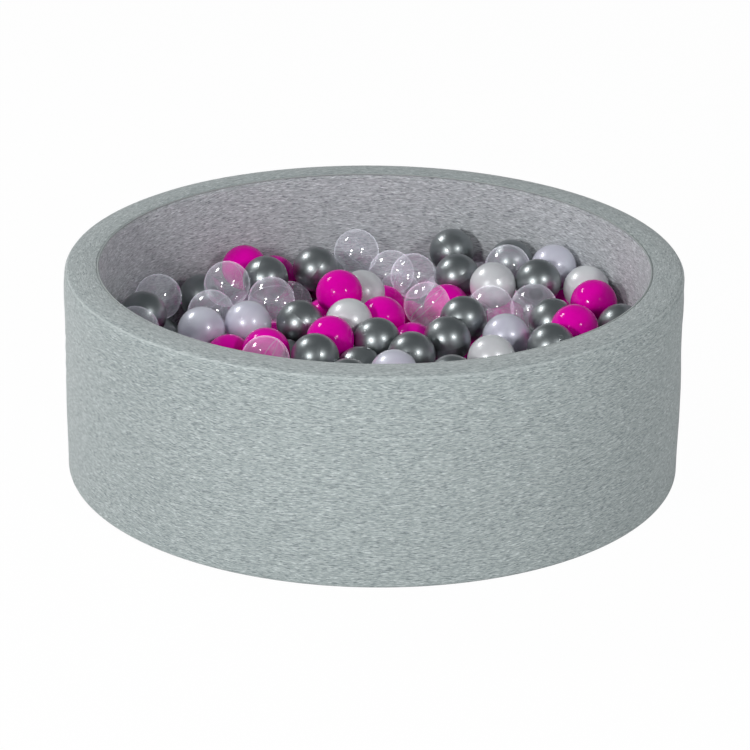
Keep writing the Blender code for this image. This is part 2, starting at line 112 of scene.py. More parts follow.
# Finish, and the middle in the picture, of each ball that shows only in a gap between the others
TUCKED_BALL_PIXELS = (
    (BallFinish.CLEAR, 211.0, 313.0),
    (BallFinish.LILAC, 394.0, 373.6),
    (BallFinish.CLEAR, 391.5, 272.5),
    (BallFinish.MAGENTA, 274.0, 277.5),
    (BallFinish.GRAPHITE, 202.0, 296.5),
    (BallFinish.CLEAR, 289.5, 303.5),
    (BallFinish.MAGENTA, 382.7, 307.6),
    (BallFinish.MAGENTA, 566.0, 312.0),
    (BallFinish.MAGENTA, 412.0, 346.0),
    (BallFinish.MAGENTA, 229.0, 358.0),
    # Painted shade: a graphite ball stands in for a magenta ball lying in deep shade
    (BallFinish.GRAPHITE, 452.0, 379.0),
    (BallFinish.MAGENTA, 447.0, 307.0),
    (BallFinish.GRAPHITE, 285.0, 363.0),
    (BallFinish.GRAPHITE, 348.0, 383.0),
    (BallFinish.GRAPHITE, 323.0, 278.0),
)


@dataclass
class Surface:
    """Points with the faces between them, before they become a mesh."""

    points: Array
    quads: Array
    quad_uv: Array
    triangles: Array
    triangle_uv: Array

    def turned(self, matrix: Array) -> Surface:
        """The surface with its points multiplied by a 3 by 3 matrix."""
        return replace(self, points=self.points @ matrix.T)

    def moved(self, offset: Array) -> Surface:
        """The surface carried along by an offset."""
        return replace(self, points=self.points + offset)

    def flipped(self) -> Surface:
        """The surface with its faces pointing the other way."""
        return Surface(
            self.points,
            self.quads[:, ::-1],
            self.quad_uv[:, ::-1],
            self.triangles[:, ::-1],
            self.triangle_uv[:, ::-1],
        )


def joined(surfaces: list[Surface]) -> Surface:
    """Puts several surfaces into one.

    Args:
        surfaces: the surfaces, which share no points.

    Returns:
        One surface that holds the faces of all.
    """
    starts = np.cumsum([0] + [len(one.points) for one in surfaces[:-1]])
    return Surface(
        np.concatenate([one.points for one in surfaces]),
        np.concatenate([one.quads + start for one, start in zip(surfaces, starts)]),
        np.concatenate([one.quad_uv for one in surfaces]),
        np.concatenate([one.triangles + start for one, start in zip(surfaces, starts)]),
        np.concatenate([one.triangle_uv for one in surfaces]),
    )


def outward(surface: Surface) -> Surface:
    """A closed surface with its faces pointing out.

    The sum of a . (b x c) over all triangles a, b, c is six times the volume, and positive if they point out.
    """
    corners = surface.points[surface.quads]
    halves = (corners[:, (0, 1, 2)], corners[:, (0, 2, 3)], surface.points[surface.triangles])
    a, b, c = np.concatenate(halves).transpose(1, 0, 2)
    return surface if np.einsum("ij,ij->", a, np.cross(b, c)) > 0 else surface.flipped()


def grid_surface(points: Array, across: Array, along: Array, loop_u: bool, loop_v: bool) -> Surface:
    """Makes the faces of a grid of points.

    Face (i, j) joins the points (i, j), (i+1, j), (i+1, j+1) and (i, j+1), and looks along the cross product
    of the first parameter's way and the second's. A looped parameter joins its last points to its first.

    Args:
        points: the grid, of shape (U, V, 3).
        across: the first texture coordinate of each column, with one more at the end where it loops.
        along: the second texture coordinate of each row, with one more at the end where it loops.
        loop_u: whether the first parameter closes on itself.
        loop_v: whether the second parameter closes on itself.

    Returns:
        The surface of the grid.
    """
    count_u, count_v = points.shape[:2]
    columns = np.arange(count_u if loop_u else count_u - 1)
    rows = np.arange(count_v if loop_v else count_v - 1)
    i, j = (index.ravel() for index in np.meshgrid(columns, rows, indexing="ij"))
    corners = ((i, j), (i + 1, j), (i + 1, j + 1), (i, j + 1))
    quads = np.stack([(a % count_u) * count_v + b % count_v for a, b in corners], axis=1)
    coordinates = np.stack([np.stack([across[a], along[b]], axis=1) for a, b in corners], axis=1)
    return Surface(points.reshape(-1, 3), quads, coordinates, np.zeros((0, 3), int), np.zeros((0, 3, 2)))


def with_poles(
    surface: Surface, count_u: int, count_v: int, low: Array | None, high: Array | None
) -> Surface:
    """Closes the first and the last row of a looped grid with a fan round a pole.

    Args:
        surface: the grid, looped in its first parameter only.
        count_u: how many columns the grid has.
        count_v: how many rows the grid has.
        low: the pole of the first row, or None to leave it open.
        high: the pole of the last row, or None to leave it open.

    Returns:
        The closed surface.
    """
    points, fans, coordinates = [surface.points], [], []
    columns = np.arange(count_u)
    after = (columns + 1) % count_u
    for pole, row, turn in ((low, 0, True), (high, count_v - 1, False)):
        if pole is None:
            continue
        index = sum(len(part) for part in points)
        points.append(np.asarray(pole, float)[None])
        first, second = columns * count_v + row, after * count_v + row
        if turn:
            first, second = second, first
        fans.append(np.stack([first, second, np.full(count_u, index)], axis=1))
        flat = points[0][fans[-1][:, :2], :2]
        middle = np.repeat(np.asarray(pole)[None, None, :2], count_u, 0)
        coordinates.append(np.concatenate([flat, middle], axis=1))
    return Surface(
        np.concatenate(points),
        surface.quads,
        surface.quad_uv,
        np.concatenate([surface.triangles, *fans]),
        np.concatenate([surface.triangle_uv, *coordinates]),
    )


def tube(round_lengths: Array, stations: Array) -> Surface:
    """A bar between two ends: the same ring of points at each station, closed at both ends.

    Args:
        round_lengths: how far round the ring each of its points lies, and last the whole way round.
        stations: the ring's points at each station, of shape (ring, stations, 3).

    Returns:
        The closed bar.
    """
    middles = stations.mean(axis=0)
    grid = grid_surface(stations, round_lengths, run_lengths(middles), True, False)
    return outward(with_poles(grid, *stations.shape[:2], middles[0], middles[-1]))


def make_object(
    name: str, surface: Surface, material: bpy.types.Material, smooth: bool = True
) -> bpy.types.Object:
    """Turns a surface into an object at the origin.

    Args:
        name: the piece's name.
        surface: its points and faces.
        material: its material.
        smooth: whether its faces shade into one another.

    Returns:
        The new object, linked to the scene.
    """
    mesh = bpy.data.meshes.new(name)
    quads, triangles = surface.quads, surface.triangles
    corners = np.concatenate([quads.ravel(), triangles.ravel()]).astype(np.int32)
    starts = np.concatenate([np.arange(len(quads)) * 4, len(quads) * 4 + np.arange(len(triangles)) * 3])
    mesh.vertices.add(len(surface.points))
    mesh.vertices.foreach_set("co", surface.points.astype(np.float32).ravel())
    mesh.loops.add(len(corners))
    mesh.loops.foreach_set("vertex_index", corners)
    mesh.polygons.add(len(starts))
    mesh.polygons.foreach_set("loop_start", starts.astype(np.int32))
    layer = mesh.uv_layers.new(name="surface")
    coordinates = np.concatenate([surface.quad_uv.reshape(-1, 2), surface.triangle_uv.reshape(-1, 2)])
    layer.data.foreach_set("uv", coordinates.astype(np.float32).ravel())
    mesh.update(calc_edges=True)
    mesh.validate()
    if smooth:
        mesh.shade_smooth()
    mesh.materials.append(material)
    made = bpy.data.objects.new(name, mesh)
    bpy.context.scene.collection.objects.link(made)
    return made


def straight(start: Array, stop: Array, spacing: float) -> Array:
    """The points of a straight stretch without its start, evenly apart by at most the spacing."""
    count = max(1, math.ceil(np.linalg.norm(stop - start) / spacing))
    shares = np.linspace(0, 1, count + 1)[1:, None]
    return start * (1 - shares) + stop * shares


def rounded_path(corners: Array, radii: Array, spacing: float, arc_steps: int = 8) -> Array:
    """Draws a line through corners, each cut by an arc.

    Between corners the line is straight. At a corner, the arc of radius r starts r * tan(turn / 2) before it
    and ends as far after it.

    Args:
        corners: the corner points, of shape (K, 2).
        radii: the arc's radius at each corner, 0 for a sharp one.
        spacing: the largest distance between points on the straight stretches.
        arc_steps: how many steps an arc has.

    Returns:
        The line's points, of shape (N, 2).
    """
    pieces = [np.array(corners[:1])]
    last = corners[0]
    for before, corner, after, radius in zip(corners[:-2], corners[1:-1], corners[2:], radii[1:-1]):
        arrive = (corner - before) / np.linalg.norm(corner - before)
        leave = (after - corner) / np.linalg.norm(after - corner)
        turn = math.acos(float(np.clip(arrive @ leave, -1, 1)))
        reach = radius * math.tan(turn / 2)
        start = corner - arrive * reach
        side = math.copysign(1, arrive[0] * leave[1] - arrive[1] * leave[0])
        middle = start + radius * side * np.array((-arrive[1], arrive[0]))
        angles = np.linspace(0, turn * side, arc_steps + 1)
        cosine, sine = np.cos(angles), np.sin(angles)
        x, y = start - middle
        pieces.append(straight(last, start, spacing))
        pieces.append(middle + np.stack([x * cosine - y * sine, x * sine + y * cosine], axis=1))
        last = corner + leave * reach
    pieces.append(straight(last, corners[-1], spacing))
    line = np.concatenate(pieces)
    apart = np.linalg.norm(np.diff(line, axis=0), axis=1)
    return line[np.concatenate([[True], apart > SAME_PLACE])]


def normals_of(path: Array, closed: bool = False) -> Array:
    """The unit normals of a line in the plane, to the right of its way."""
    if closed:
        way = np.roll(path, -1, axis=0) - np.roll(path, 1, axis=0)
    else:
        way = np.gradient(path, axis=0)
    way /= np.linalg.norm(way, axis=1, keepdims=True)
    return np.stack([way[:, 1], -way[:, 0]], axis=1)


def run_lengths(path: Array) -> Array:
    """How far along a line each of its points lies."""
    return np.concatenate([[0], np.cumsum(np.linalg.norm(np.diff(path, axis=0), axis=1))])


@dataclass(frozen=True)
class Lumps:
    """The soft unevenness of a cover on foam.

    It is a sum of waves cos(k * angle + q * place + phase), with whole k, so that it closes round the tub,
    and weights that fall with the wave's fineness as 1 / sqrt(1 + (k / fading)^2). Its deviation is about
    0.7.
    """

    seed: int
    coarsest: int = 2
    finest: int = 22
    fading: int = 6
    upright: float = 26.0
    waves: int = 26

    def at(self, angles: Array, places: Array) -> Array:
        """The unevenness at each angle (rows) and each place along the panel (columns)."""
        draw = np.random.default_rng(self.seed)
        turns = draw.integers(self.coarsest, self.finest, self.waves)
        rises = draw.uniform(-self.upright, self.upright, self.waves)
        phases = draw.uniform(0, FULL_TURN, self.waves)
        weights = 1 / np.sqrt(1 + (turns / self.fading) ** 2)
        total = np.zeros((len(angles), len(places)))
        for turn, rise, phase, weight in zip(turns, rises, phases, weights):
            total += weight * np.cos(turn * angles[:, None] + rise * places[None] + phase)
        return total / math.sqrt((weights**2).sum())


def revolve(path: Array, count: int, push: Array | None = None, closed: bool = False) -> Surface:
    """Carries a line in the plane of radius and height once round the Z axis.

    The point at angle a and place s is (r(s) cos a, r(s) sin a, z(s)), moved by push(a, s) along the line's
    normal. A line end on the axis becomes a pole.

    Args:
        path: the line's points (radius, height), with the solid on its left side.
        count: how many steps the turn has.
        push: how far each point moves along the normal, of shape (count, points), or None.
        closed: whether the line closes on itself.

    Returns:
        The turned surface.
    """
    on_axis = [not closed and path[end, 0] < SAME_PLACE for end in (0, -1)]
    normals = normals_of(path, closed)
    body = slice(1 if on_axis[0] else 0, -1 if on_axis[1] else None)
    line, ways = path[body], normals[body]
    angles = np.arange(count) * FULL_TURN / count
    shift = np.zeros((count, len(line))) if push is None else push[:, body]
    radius = line[None, :, 0] + shift * ways[None, :, 0]
    height = line[None, :, 1] + shift * ways[None, :, 1]
    points = np.stack([radius * np.cos(angles)[:, None], radius * np.sin(angles)[:, None], height], axis=2)
    ring = np.abs(path[:, 0]).max()
    lengths = run_lengths(np.concatenate([line, line[:1]]) if closed else line)
    across = np.arange(count + 1) * FULL_TURN / count * ring
    surface = grid_surface(points, across, lengths, True, closed)
    poles = [np.array((0.0, 0.0, path[end, 1])) if on_axis[k] else None for k, end in enumerate((0, -1))]
    return with_poles(surface, count, len(line), *poles) if any(on_axis) else surface


@dataclass(frozen=True)
class PressedPanel:
    """A jersey panel as cloth, sewn down along both edges, that the foam behind it pushes out unevenly."""

    columns: int = 128
    rows: int = 30
    levels: int = 12
    pressure: float = 30.0
    tension: float = 5.0
    bending: float = 0.8
    mass: float = 0.15
    quality: int = 5
    frames: int = 20
    cap: float = 3.0 * MM

    def stand_off(self, path: Array, lumps: Lumps, steps: int) -> Array:
        """How far the settled cloth stands off its line, at each angle and each point of the line.

        The cloth starts on a coarse grid of the turned line. The push on a point is the pressure times
        1/2 + lumps / 2, cut to between 0 and 1 and rounded to one of a few levels. What the points have moved
        along the line's normal is filled in round the turn by its waves and along the line straight.

        Args:
            path: the line's points (radius, height), from one seam to the other.
            lumps: where the foam pushes more and less.
            steps: how many steps the turn has in the result.

        Returns:
            The distances, of shape (steps, points).
        """
        lengths = run_lengths(path)
        places = np.linspace(0, lengths[-1], self.rows)
        line = np.stack([np.interp(places, lengths, path[:, k]) for k in range(2)], axis=1)
        start = revolve(line, self.columns)
        angles = np.arange(self.columns) * FULL_TURN / self.columns
        weight = np.clip(0.5 + 0.5 * lumps.at(angles, places), 0, 1)
        moved = self.settled(start, np.rint(weight * self.levels) / self.levels) - start.points
        moved = moved.reshape(self.columns, self.rows, 3)
        ways = normals_of(line)
        out = moved[..., 0] * np.cos(angles)[:, None] + moved[..., 1] * np.sin(angles)[:, None]
        coarse = np.clip(out * ways[:, 0] + moved[..., 2] * ways[:, 1], -self.cap, self.cap)
        waves = np.fft.irfft(np.fft.rfft(coarse, axis=0), n=steps, axis=0) * steps / self.columns
        return np.stack([np.interp(lengths, places, row) for row in waves])

    def settled(self, start: Surface, weight: Array) -> Array:
        """The points of the cloth after its simulation, which leaves nothing behind in the scene."""
        mesh = bpy.data.meshes.new("panel_cloth")
        mesh.from_pydata(start.points, [], start.quads)
        piece = bpy.data.objects.new("panel_cloth", mesh)
        scene = bpy.context.scene
        scene.collection.objects.link(piece)
        index = np.arange(self.columns * self.rows).reshape(self.columns, self.rows)
        sewn, pushed = piece.vertex_groups.new(name="sewn"), piece.vertex_groups.new(name="pushed")
        sewn.add(index[:, (0, -1)].ravel().tolist(), 1.0, "REPLACE")
        for level in np.unique(weight):
            pushed.add(index[weight == level].tolist(), float(level), "REPLACE")
        cloth = piece.modifiers.new("cloth", "CLOTH")
        settings = cloth.settings
        settings.quality, settings.mass = self.quality, self.mass
        settings.tension_stiffness = settings.compression_stiffness = settings.shear_stiffness = self.tension
        settings.bending_stiffness = self.bending
        settings.use_pressure, settings.uniform_pressure_force = True, self.pressure
        settings.vertex_group_mass, settings.vertex_group_pressure = sewn.name, pushed.name
        settings.effector_weights.gravity = 0
        cloth.point_cache.frame_start, cloth.point_cache.frame_end = 1, self.frames
        for frame in range(1, self.frames + 1):
            scene.frame_set(frame)
        shape = piece.evaluated_get(bpy.context.evaluated_depsgraph_get()).data
        points = np.zeros(3 * len(shape.vertices), np.float32)
        shape.vertices.foreach_get("co", points)
        bpy.data.objects.remove(piece)
        bpy.data.meshes.remove(mesh)
        scene.frame_set(1)
        return points.reshape(-1, 3).astype(float)


# Where the Mix node for colours has its factor, its two colours and its result
MIX_FACTOR, MIX_FIRST, MIX_SECOND, MIX_RESULT = 0, 6, 7, 2


class Nodes:
    """A short way to write a shader node tree."""

    def __init__(self, tree: bpy.types.NodeTree) -> None:
        """Starts from an empty tree."""
        self.tree = tree
        tree.nodes.clear()

    def put(self, socket: bpy.types.NodeSocket, value: object) -> None:
        """Links an input to a socket, or sets it to any other value."""
        if isinstance(value, bpy.types.NodeSocket):
            self.tree.links.new(value, socket)
        else:
            socket.default_value = value

    def feed(self, node: bpy.types.Node, values: dict[str, object]) -> bpy.types.Node:
        """Puts a value or a socket into each of a node's inputs that is named, and returns the node."""
        for label, value in values.items():
            self.put(node.inputs[label], value)
        return node

    def add(self, kind: str, *, settings: dict | None = None, **inputs: object) -> bpy.types.Node:
        """Adds a node.

        Args:
            kind: the node's type, without the ShaderNode in front.
            settings: the values of the node's own properties.
            **inputs: each input by its name with _ for a space, or by in0, in1 for its place; a socket is
                linked, and anything else is its value.

        Returns:
            The new node.
        """
        node = self.tree.nodes.new("ShaderNode" + kind)
        for name, value in (settings or {}).items():
            setattr(node, name, value)
        for name, value in inputs.items():
            numbered = name.startswith("in") and name[2:].isdigit()
            self.put(node.inputs[int(name[2:]) if numbered else name.replace("_", " ")], value)
        return node

    def effect(self, tree: bpy.types.NodeTree, values: dict[str, object]) -> bpy.types.Node:
        """Places a shared effect, with what goes into its inputs."""
        return self.feed(self.add("Group", settings={"node_tree": tree}), values)

    def surface_place(self) -> bpy.types.NodeSocket:
        """The piece's own surface coordinates, in metres."""
        return self.add("UVMap", settings={"uv_map": "surface"}).outputs[0]

    def math(self, operation: str, *values: object) -> bpy.types.NodeSocket:
        """The result of a Math node."""
        inputs = {f"in{k}": value for k, value in enumerate(values)}
        return self.add("Math", settings={"operation": operation}, **inputs).outputs[0]

    def noise(
        self, place: bpy.types.NodeSocket, scale: float, detail: float, roughness: float = 0.5
    ) -> bpy.types.NodeSocket:
        """The value of a noise at a place."""
        made = self.add("TexNoise", Vector=place, Scale=scale, Detail=detail, Roughness=roughness)
        return made.outputs["Fac"]

    def blend(self, share: object, low: object, high: object) -> bpy.types.NodeSocket:
        """A colour mixed from two, by a share of the second."""
        node = self.add("Mix", settings={"data_type": "RGBA"})
        for place, value in ((MIX_FACTOR, share), (MIX_FIRST, low), (MIX_SECOND, high)):
            self.put(node.inputs[place], value)
        return node.outputs[MIX_RESULT]

    def spread(
        self, value: object, low: object, high: object, to_low: object = 0.0, to_high: object = 1.0
    ) -> bpy.types.NodeSocket:
        """A value's range stretched onto another, cut off at its ends and eased."""
        settings = {"interpolation_type": "SMOOTHSTEP"}
        inputs = {"Value": value, "From_Min": low, "From_Max": high, "To_Min": to_low, "To_Max": to_high}
        return self.add("MapRange", settings=settings, **inputs).outputs[0]


class EffectGroup:
    """A shader node group in the making, with its tree's writer and its own inputs and outputs."""

    def __init__(self, name: str, inputs: dict[str, tuple[str, object]], outputs: dict[str, str]) -> None:
        """Makes the empty group with its sockets.

        Args:
            name: the group's name.
            inputs: each input's name, with its kind (Float, Color or Vector) and value.
            outputs: each output's name, with its kind.
        """
        self.tree = bpy.data.node_groups.new(name, "ShaderNodeTree")
        sockets = self.tree.interface
        for label, (kind, value) in inputs.items():
            socket = sockets.new_socket(label, in_out="INPUT", socket_type="NodeSocket" + kind)
            if value is not None:
                socket.default_value = value
        for label, kind in outputs.items():
            sockets.new_socket(label, in_out="OUTPUT", socket_type="NodeSocket" + kind)
        self.nodes = Nodes(self.tree)
        self.given = self.tree.nodes.new("NodeGroupInput").outputs
        self.result = self.tree.nodes.new("NodeGroupOutput").inputs

    def finished(self, results: dict[str, bpy.types.NodeSocket]) -> bpy.types.NodeTree:
        """The group's tree, once each of its outputs has its socket."""
        for label, socket in results.items():
            self.tree.links.new(socket, self.result[label])
        return self.tree


@dataclass(frozen=True)
class HeatherEffect:
    """A knitted jersey of mottled yarn, on coordinates in metres: across the wales, then along them.

    Two noises stretched across the wales give the light and the dark flecks, a wide one the cloudiness, and
    the wales and courses a fine relief. Each grain is its stretch against the fleck's size, its shift in the
    noise and the noise's detail.
    """

    drift_scale: float = 9.0
    sway: Triple = (0.004, 0.016, 0.0)
    light_grain: Triple = (1.0, 3.7, 3.0)
    dark_grain: Triple = (1.15, 11.3, 3.0)
    cloud_grain: Triple = (3.4, 23.9, 1.0)
    grain_roughness: float = 0.55
    fleck_limits: Pair = (0.44, 0.72)
    cloud_limits: Pair = (0.35, 0.65)
    cloud_depth: float = 0.30
    wales_scale: float = 300.0
    courses_scale: float = 380.0
    knit_share: float = 0.45
    gloss: Pair = (0.98, 0.86)

    def tree(self) -> bpy.types.NodeTree:
        """Builds the group."""
        inputs = {
            "Vector": ("Vector", None),
            "Base": ("Color", (0.4, 0.4, 0.4, 1)),
            "Light": ("Color", (0.6, 0.6, 0.6, 1)),
            "Dark": ("Color", (0.2, 0.2, 0.2, 1)),
            "Fleck Length": ("Float", 0.010),
            "Fleck Height": ("Float", 0.002),
            "Contrast": ("Float", 1.0),
        }
        group = EffectGroup("Heather jersey", inputs, RELIEF_OUTPUTS)
        nodes, given = group.nodes, group.given
        drift = nodes.add("TexNoise", Vector=given["Vector"], Scale=self.drift_scale, Detail=2.0)
        place = nodes.add(
            "VectorMath", settings={"operation": "MULTIPLY_ADD"},
            in0=drift.outputs["Color"], in1=self.sway, in2=given["Vector"],
        ).outputs[0]
        split = nodes.add("SeparateXYZ", Vector=place)

        def flecks(stretch: float, shift: float, detail: float) -> bpy.types.NodeSocket:
            """A noise whose grains are stretch times the fleck's size."""
            length = nodes.math("MULTIPLY", given["Fleck Length"], stretch)
            height = nodes.math("MULTIPLY", given["Fleck Height"], stretch)
            across = nodes.math("DIVIDE", split.outputs[0], length)
            upright = nodes.math("DIVIDE", split.outputs[1], height)
            grain = nodes.add("CombineXYZ", X=across, Y=upright, Z=shift).outputs[0]
            return nodes.noise(grain, 1.0, detail, self.grain_roughness)

        def threads(direction: str, scale: float) -> bpy.types.NodeSocket:
            """The rise and fall of the threads that lie side by side in a direction, X or Y."""
            settings = {"bands_direction": direction, "wave_profile": "SIN"}
            made = nodes.add("TexWave", settings=settings, Vector=place, Scale=scale, Distortion=0.0)
            return made.outputs["Fac"]

        bright = nodes.spread(flecks(*self.light_grain), *self.fleck_limits)
        dim = nodes.spread(flecks(*self.dark_grain), *self.fleck_limits)
        soft = nodes.spread(flecks(*self.cloud_grain), *self.cloud_limits, 0.0, self.cloud_depth)
        light_share = nodes.math("MULTIPLY", bright, given["Contrast"])
        dark_share = nodes.math("MULTIPLY", nodes.math("MAXIMUM", dim, soft), given["Contrast"])
        lit = nodes.blend(light_share, given["Base"], given["Light"])
        knit = nodes.math("MULTIPLY", threads("X", self.wales_scale), threads("Y", self.courses_scale))
        knit_height = nodes.math("MULTIPLY", knit, self.knit_share)
        height = nodes.math("ADD", knit_height, nodes.math("MULTIPLY", bright, 1 - self.knit_share))
        return group.finished({
            "Color": nodes.blend(dark_share, lit, given["Dark"]),
            "Height": height,
            "Roughness": nodes.spread(height, 0.0, 1.0, *self.gloss),
        })


@dataclass(frozen=True)
class MouldedEffect:
    """The small unevenness of thin blown plastic, on coordinates in metres.

    A wide noise shades the colour, a fine one scuffs the gloss, and both together raise a faint relief.
    """

    wide_scale: float = 26.0
    fine_scale: float = 420.0
    shade_limits: Pair = (0.35, 0.7)
    scuff_limits: Pair = (0.42, 0.72)
    fine_height: float = 0.06

    def tree(self) -> bpy.types.NodeTree:
        """Builds the group."""
        inputs = {
            "Vector": ("Vector", None),
            "Base": ("Color", (0.5, 0.5, 0.5, 1)),
            "Shade": ("Color", (0.4, 0.4, 0.4, 1)),
            "Gloss Low": ("Float", 0.10),
            "Gloss High": ("Float", 0.20),
        }
        group = EffectGroup("Moulded plastic", inputs, RELIEF_OUTPUTS)
        nodes, given = group.nodes, group.given
        wide = nodes.noise(given["Vector"], self.wide_scale, 2.0)
        fine = nodes.noise(given["Vector"], self.fine_scale, 3.0)
        span = nodes.math("SUBTRACT", given["Gloss High"], given["Gloss Low"])
        scuff = nodes.spread(fine, *self.scuff_limits)
        return group.finished({
            "Color": nodes.blend(nodes.spread(wide, *self.shade_limits), given["Base"], given["Shade"]),
            "Height": nodes.math("ADD", wide, nodes.math("MULTIPLY", fine, self.fine_height)),
            "Roughness": nodes.math("MULTIPLY_ADD", scuff, span, given["Gloss Low"]),
        })


@dataclass(frozen=True)
class WeaveEffect:
    """A plain weave of two thread directions, on coordinates in metres.

    Each direction's threads are a sine wave. Where the product of the two waves is high the warp shows, and
    where it is low the weft, and the product's size is the height.
    """

    over_limits: Pair = (-0.3, 0.3)

    def tree(self) -> bpy.types.NodeTree:
        """Builds the group."""
        inputs = {
            "Vector": ("Vector", None),
            "Warp": ("Color", (0.3, 0.3, 0.3, 1)),
            "Weft": ("Color", (0.2, 0.2, 0.2, 1)),
            "Threads Per Metre": ("Float", 1200.0),
        }
        group = EffectGroup("Plain weave", inputs, {"Color": "Color", "Height": "Float"})
        nodes, given = group.nodes, group.given
        split = nodes.add("SeparateXYZ", Vector=given["Vector"])
        turn = nodes.math("MULTIPLY", given["Threads Per Metre"], math.pi)
        waves = [nodes.math("SINE", nodes.math("MULTIPLY", split.outputs[k], turn)) for k in range(2)]
        over = nodes.math("MULTIPLY", *waves)
        share = nodes.spread(over, *self.over_limits)
        return group.finished({
            "Color": nodes.blend(share, given["Weft"], given["Warp"]),
            "Height": nodes.math("ABSOLUTE", over),
        })


@dataclass(frozen=True)
class ShellEffect:
    """How much a thin clear shell veils what lies behind it.

    With f the facing share, 0 head on and 1 edge on, the veil is haze + rim * f^3, uneven by a noise, with
    the mould line on top, where the second surface coordinate is seam.
    """

    rim_power: float = 3.0
    cloud_scale: float = 30.0
    cloud_limits: Pair = (0.3, 0.7)
    cloud_depths: Pair = (0.8, 1.2)
    densest: float = 0.95

    def tree(self) -> bpy.types.NodeTree:
        """Builds the group."""
        inputs = {
            "Vector": ("Vector", None),
            "Facing": ("Float", 0.0),
            "Haze": ("Float", 0.15),
            "Rim": ("Float", 0.5),
            "Seam": ("Float", 0.055),
            "Seam Width": ("Float", 0.0006),
            "Seam Veil": ("Float", 0.3),
        }
        group = EffectGroup("Thin shell", inputs, {"Veil": "Float"})
        nodes, given = group.nodes, group.given
        edge = nodes.math("POWER", given["Facing"], self.rim_power)
        veil = nodes.math("MULTIPLY_ADD", edge, given["Rim"], given["Haze"])
        length = nodes.add("SeparateXYZ", Vector=given["Vector"]).outputs[1]
        off = nodes.math("ABSOLUTE", nodes.math("SUBTRACT", length, given["Seam"]))
        line = nodes.spread(off, 0.0, given["Seam Width"], 1.0, 0.0)
        cloud = nodes.noise(given["Vector"], self.cloud_scale, 1.0)
        veil = nodes.math("MULTIPLY", veil, nodes.spread(cloud, *self.cloud_limits, *self.cloud_depths))
        veil = nodes.math("MULTIPLY_ADD", line, given["Seam Veil"], veil)
        return group.finished({"Veil": nodes.math("MINIMUM", veil, self.densest)})


class Effects:
    """The node groups that several finishes share, each built once."""

    def __init__(self) -> None:
        """Builds the groups."""
        self.heather = HeatherEffect().tree()
        self.moulded = MouldedEffect().tree()
        self.woven = WeaveEffect().tree()
        self.shell = ShellEffect().tree()


def opaque(colour: Triple) -> tuple[float, float, float, float]:
    """A colour as the sockets take it, with its alpha."""
    return (*colour, 1.0)


def start_material(name: str) -> tuple[bpy.types.Material, Nodes, bpy.types.Node]:
    """A material with a Principled shader on its output.

    Args:
        name: the material's name.

    Returns:
        The material, the writer of its tree and the shader.
    """
    material = bpy.data.materials.new(name)
    material.use_nodes = True
    nodes = Nodes(material.node_tree)
    shader = nodes.add("BsdfPrincipled")
    nodes.add("OutputMaterial", Surface=shader.outputs[0])
    return material, nodes, shader


def add_relief(
    nodes: Nodes, shader: bpy.types.Node, height: bpy.types.NodeSocket, distance: float, strength: float
) -> None:
    """Feeds a height into the shader's normal.

    Args:
        nodes: the material's writer.
        shader: the material's shader.
        height: the height, from 0 to 1.
        distance: how high 1 stands, in metres.
        strength: how strongly it shades.
    """
    bump = nodes.add("Bump", Height=height, Distance=distance, Strength=strength)
    nodes.put(shader.inputs["Normal"], bump.outputs[0])


@dataclass(frozen=True)
class JerseyFinish:
    """A heather jersey by its three yarn colours."""

    name: str
    base: Triple
    light: Triple
    dark: Triple
    fleck_length: float = 8.5 * MM
    fleck_height: float = 1.3 * MM
    contrast: float = 1.0
    # Where along the panel the crease's painted highlight runs, or None for none
    crease: float | None = None
    crease_highlight_half_width: float = 3.0 * MM
    crease_highlight_share: float = 0.38
    specular: float = 0.2
    sheen: float = 0.25
    sheen_roughness: float = 0.6
    relief: float = 0.5 * MM
    relief_strength: float = 0.45

    def material(self, effects: Effects) -> bpy.types.Material:
        """The jersey's material, on the piece's own surface coordinates.

        At the crease over the foam's edge, a painted highlight blends the colour towards the light yarn.
        """
        material, nodes, shader = start_material(self.name)
        place = nodes.surface_place()
        jersey = nodes.effect(effects.heather, {
            "Vector": place,
            "Base": opaque(self.base),
            "Light": opaque(self.light),
            "Dark": opaque(self.dark),
            "Fleck Length": self.fleck_length,
            "Fleck Height": self.fleck_height,
            "Contrast": self.contrast,
        })
        colour = jersey.outputs["Color"]
        # Painted highlight: a band along the crease, blended towards the light yarn
        if self.crease is not None:
            along = nodes.add("SeparateXYZ", Vector=place).outputs[1]
            off = nodes.math("ABSOLUTE", nodes.math("SUBTRACT", along, self.crease))
            share = nodes.spread(off, 0.0, self.crease_highlight_half_width, self.crease_highlight_share, 0.0)
            colour = nodes.blend(share, colour, opaque(self.light))
        nodes.feed(shader, {
            "Base Color": colour,
            "Roughness": jersey.outputs["Roughness"],
            "Specular IOR Level": self.specular,
            "Sheen Weight": self.sheen,
            "Sheen Roughness": self.sheen_roughness,
        })
        add_relief(nodes, shader, jersey.outputs["Height"], self.relief, self.relief_strength)
        return material


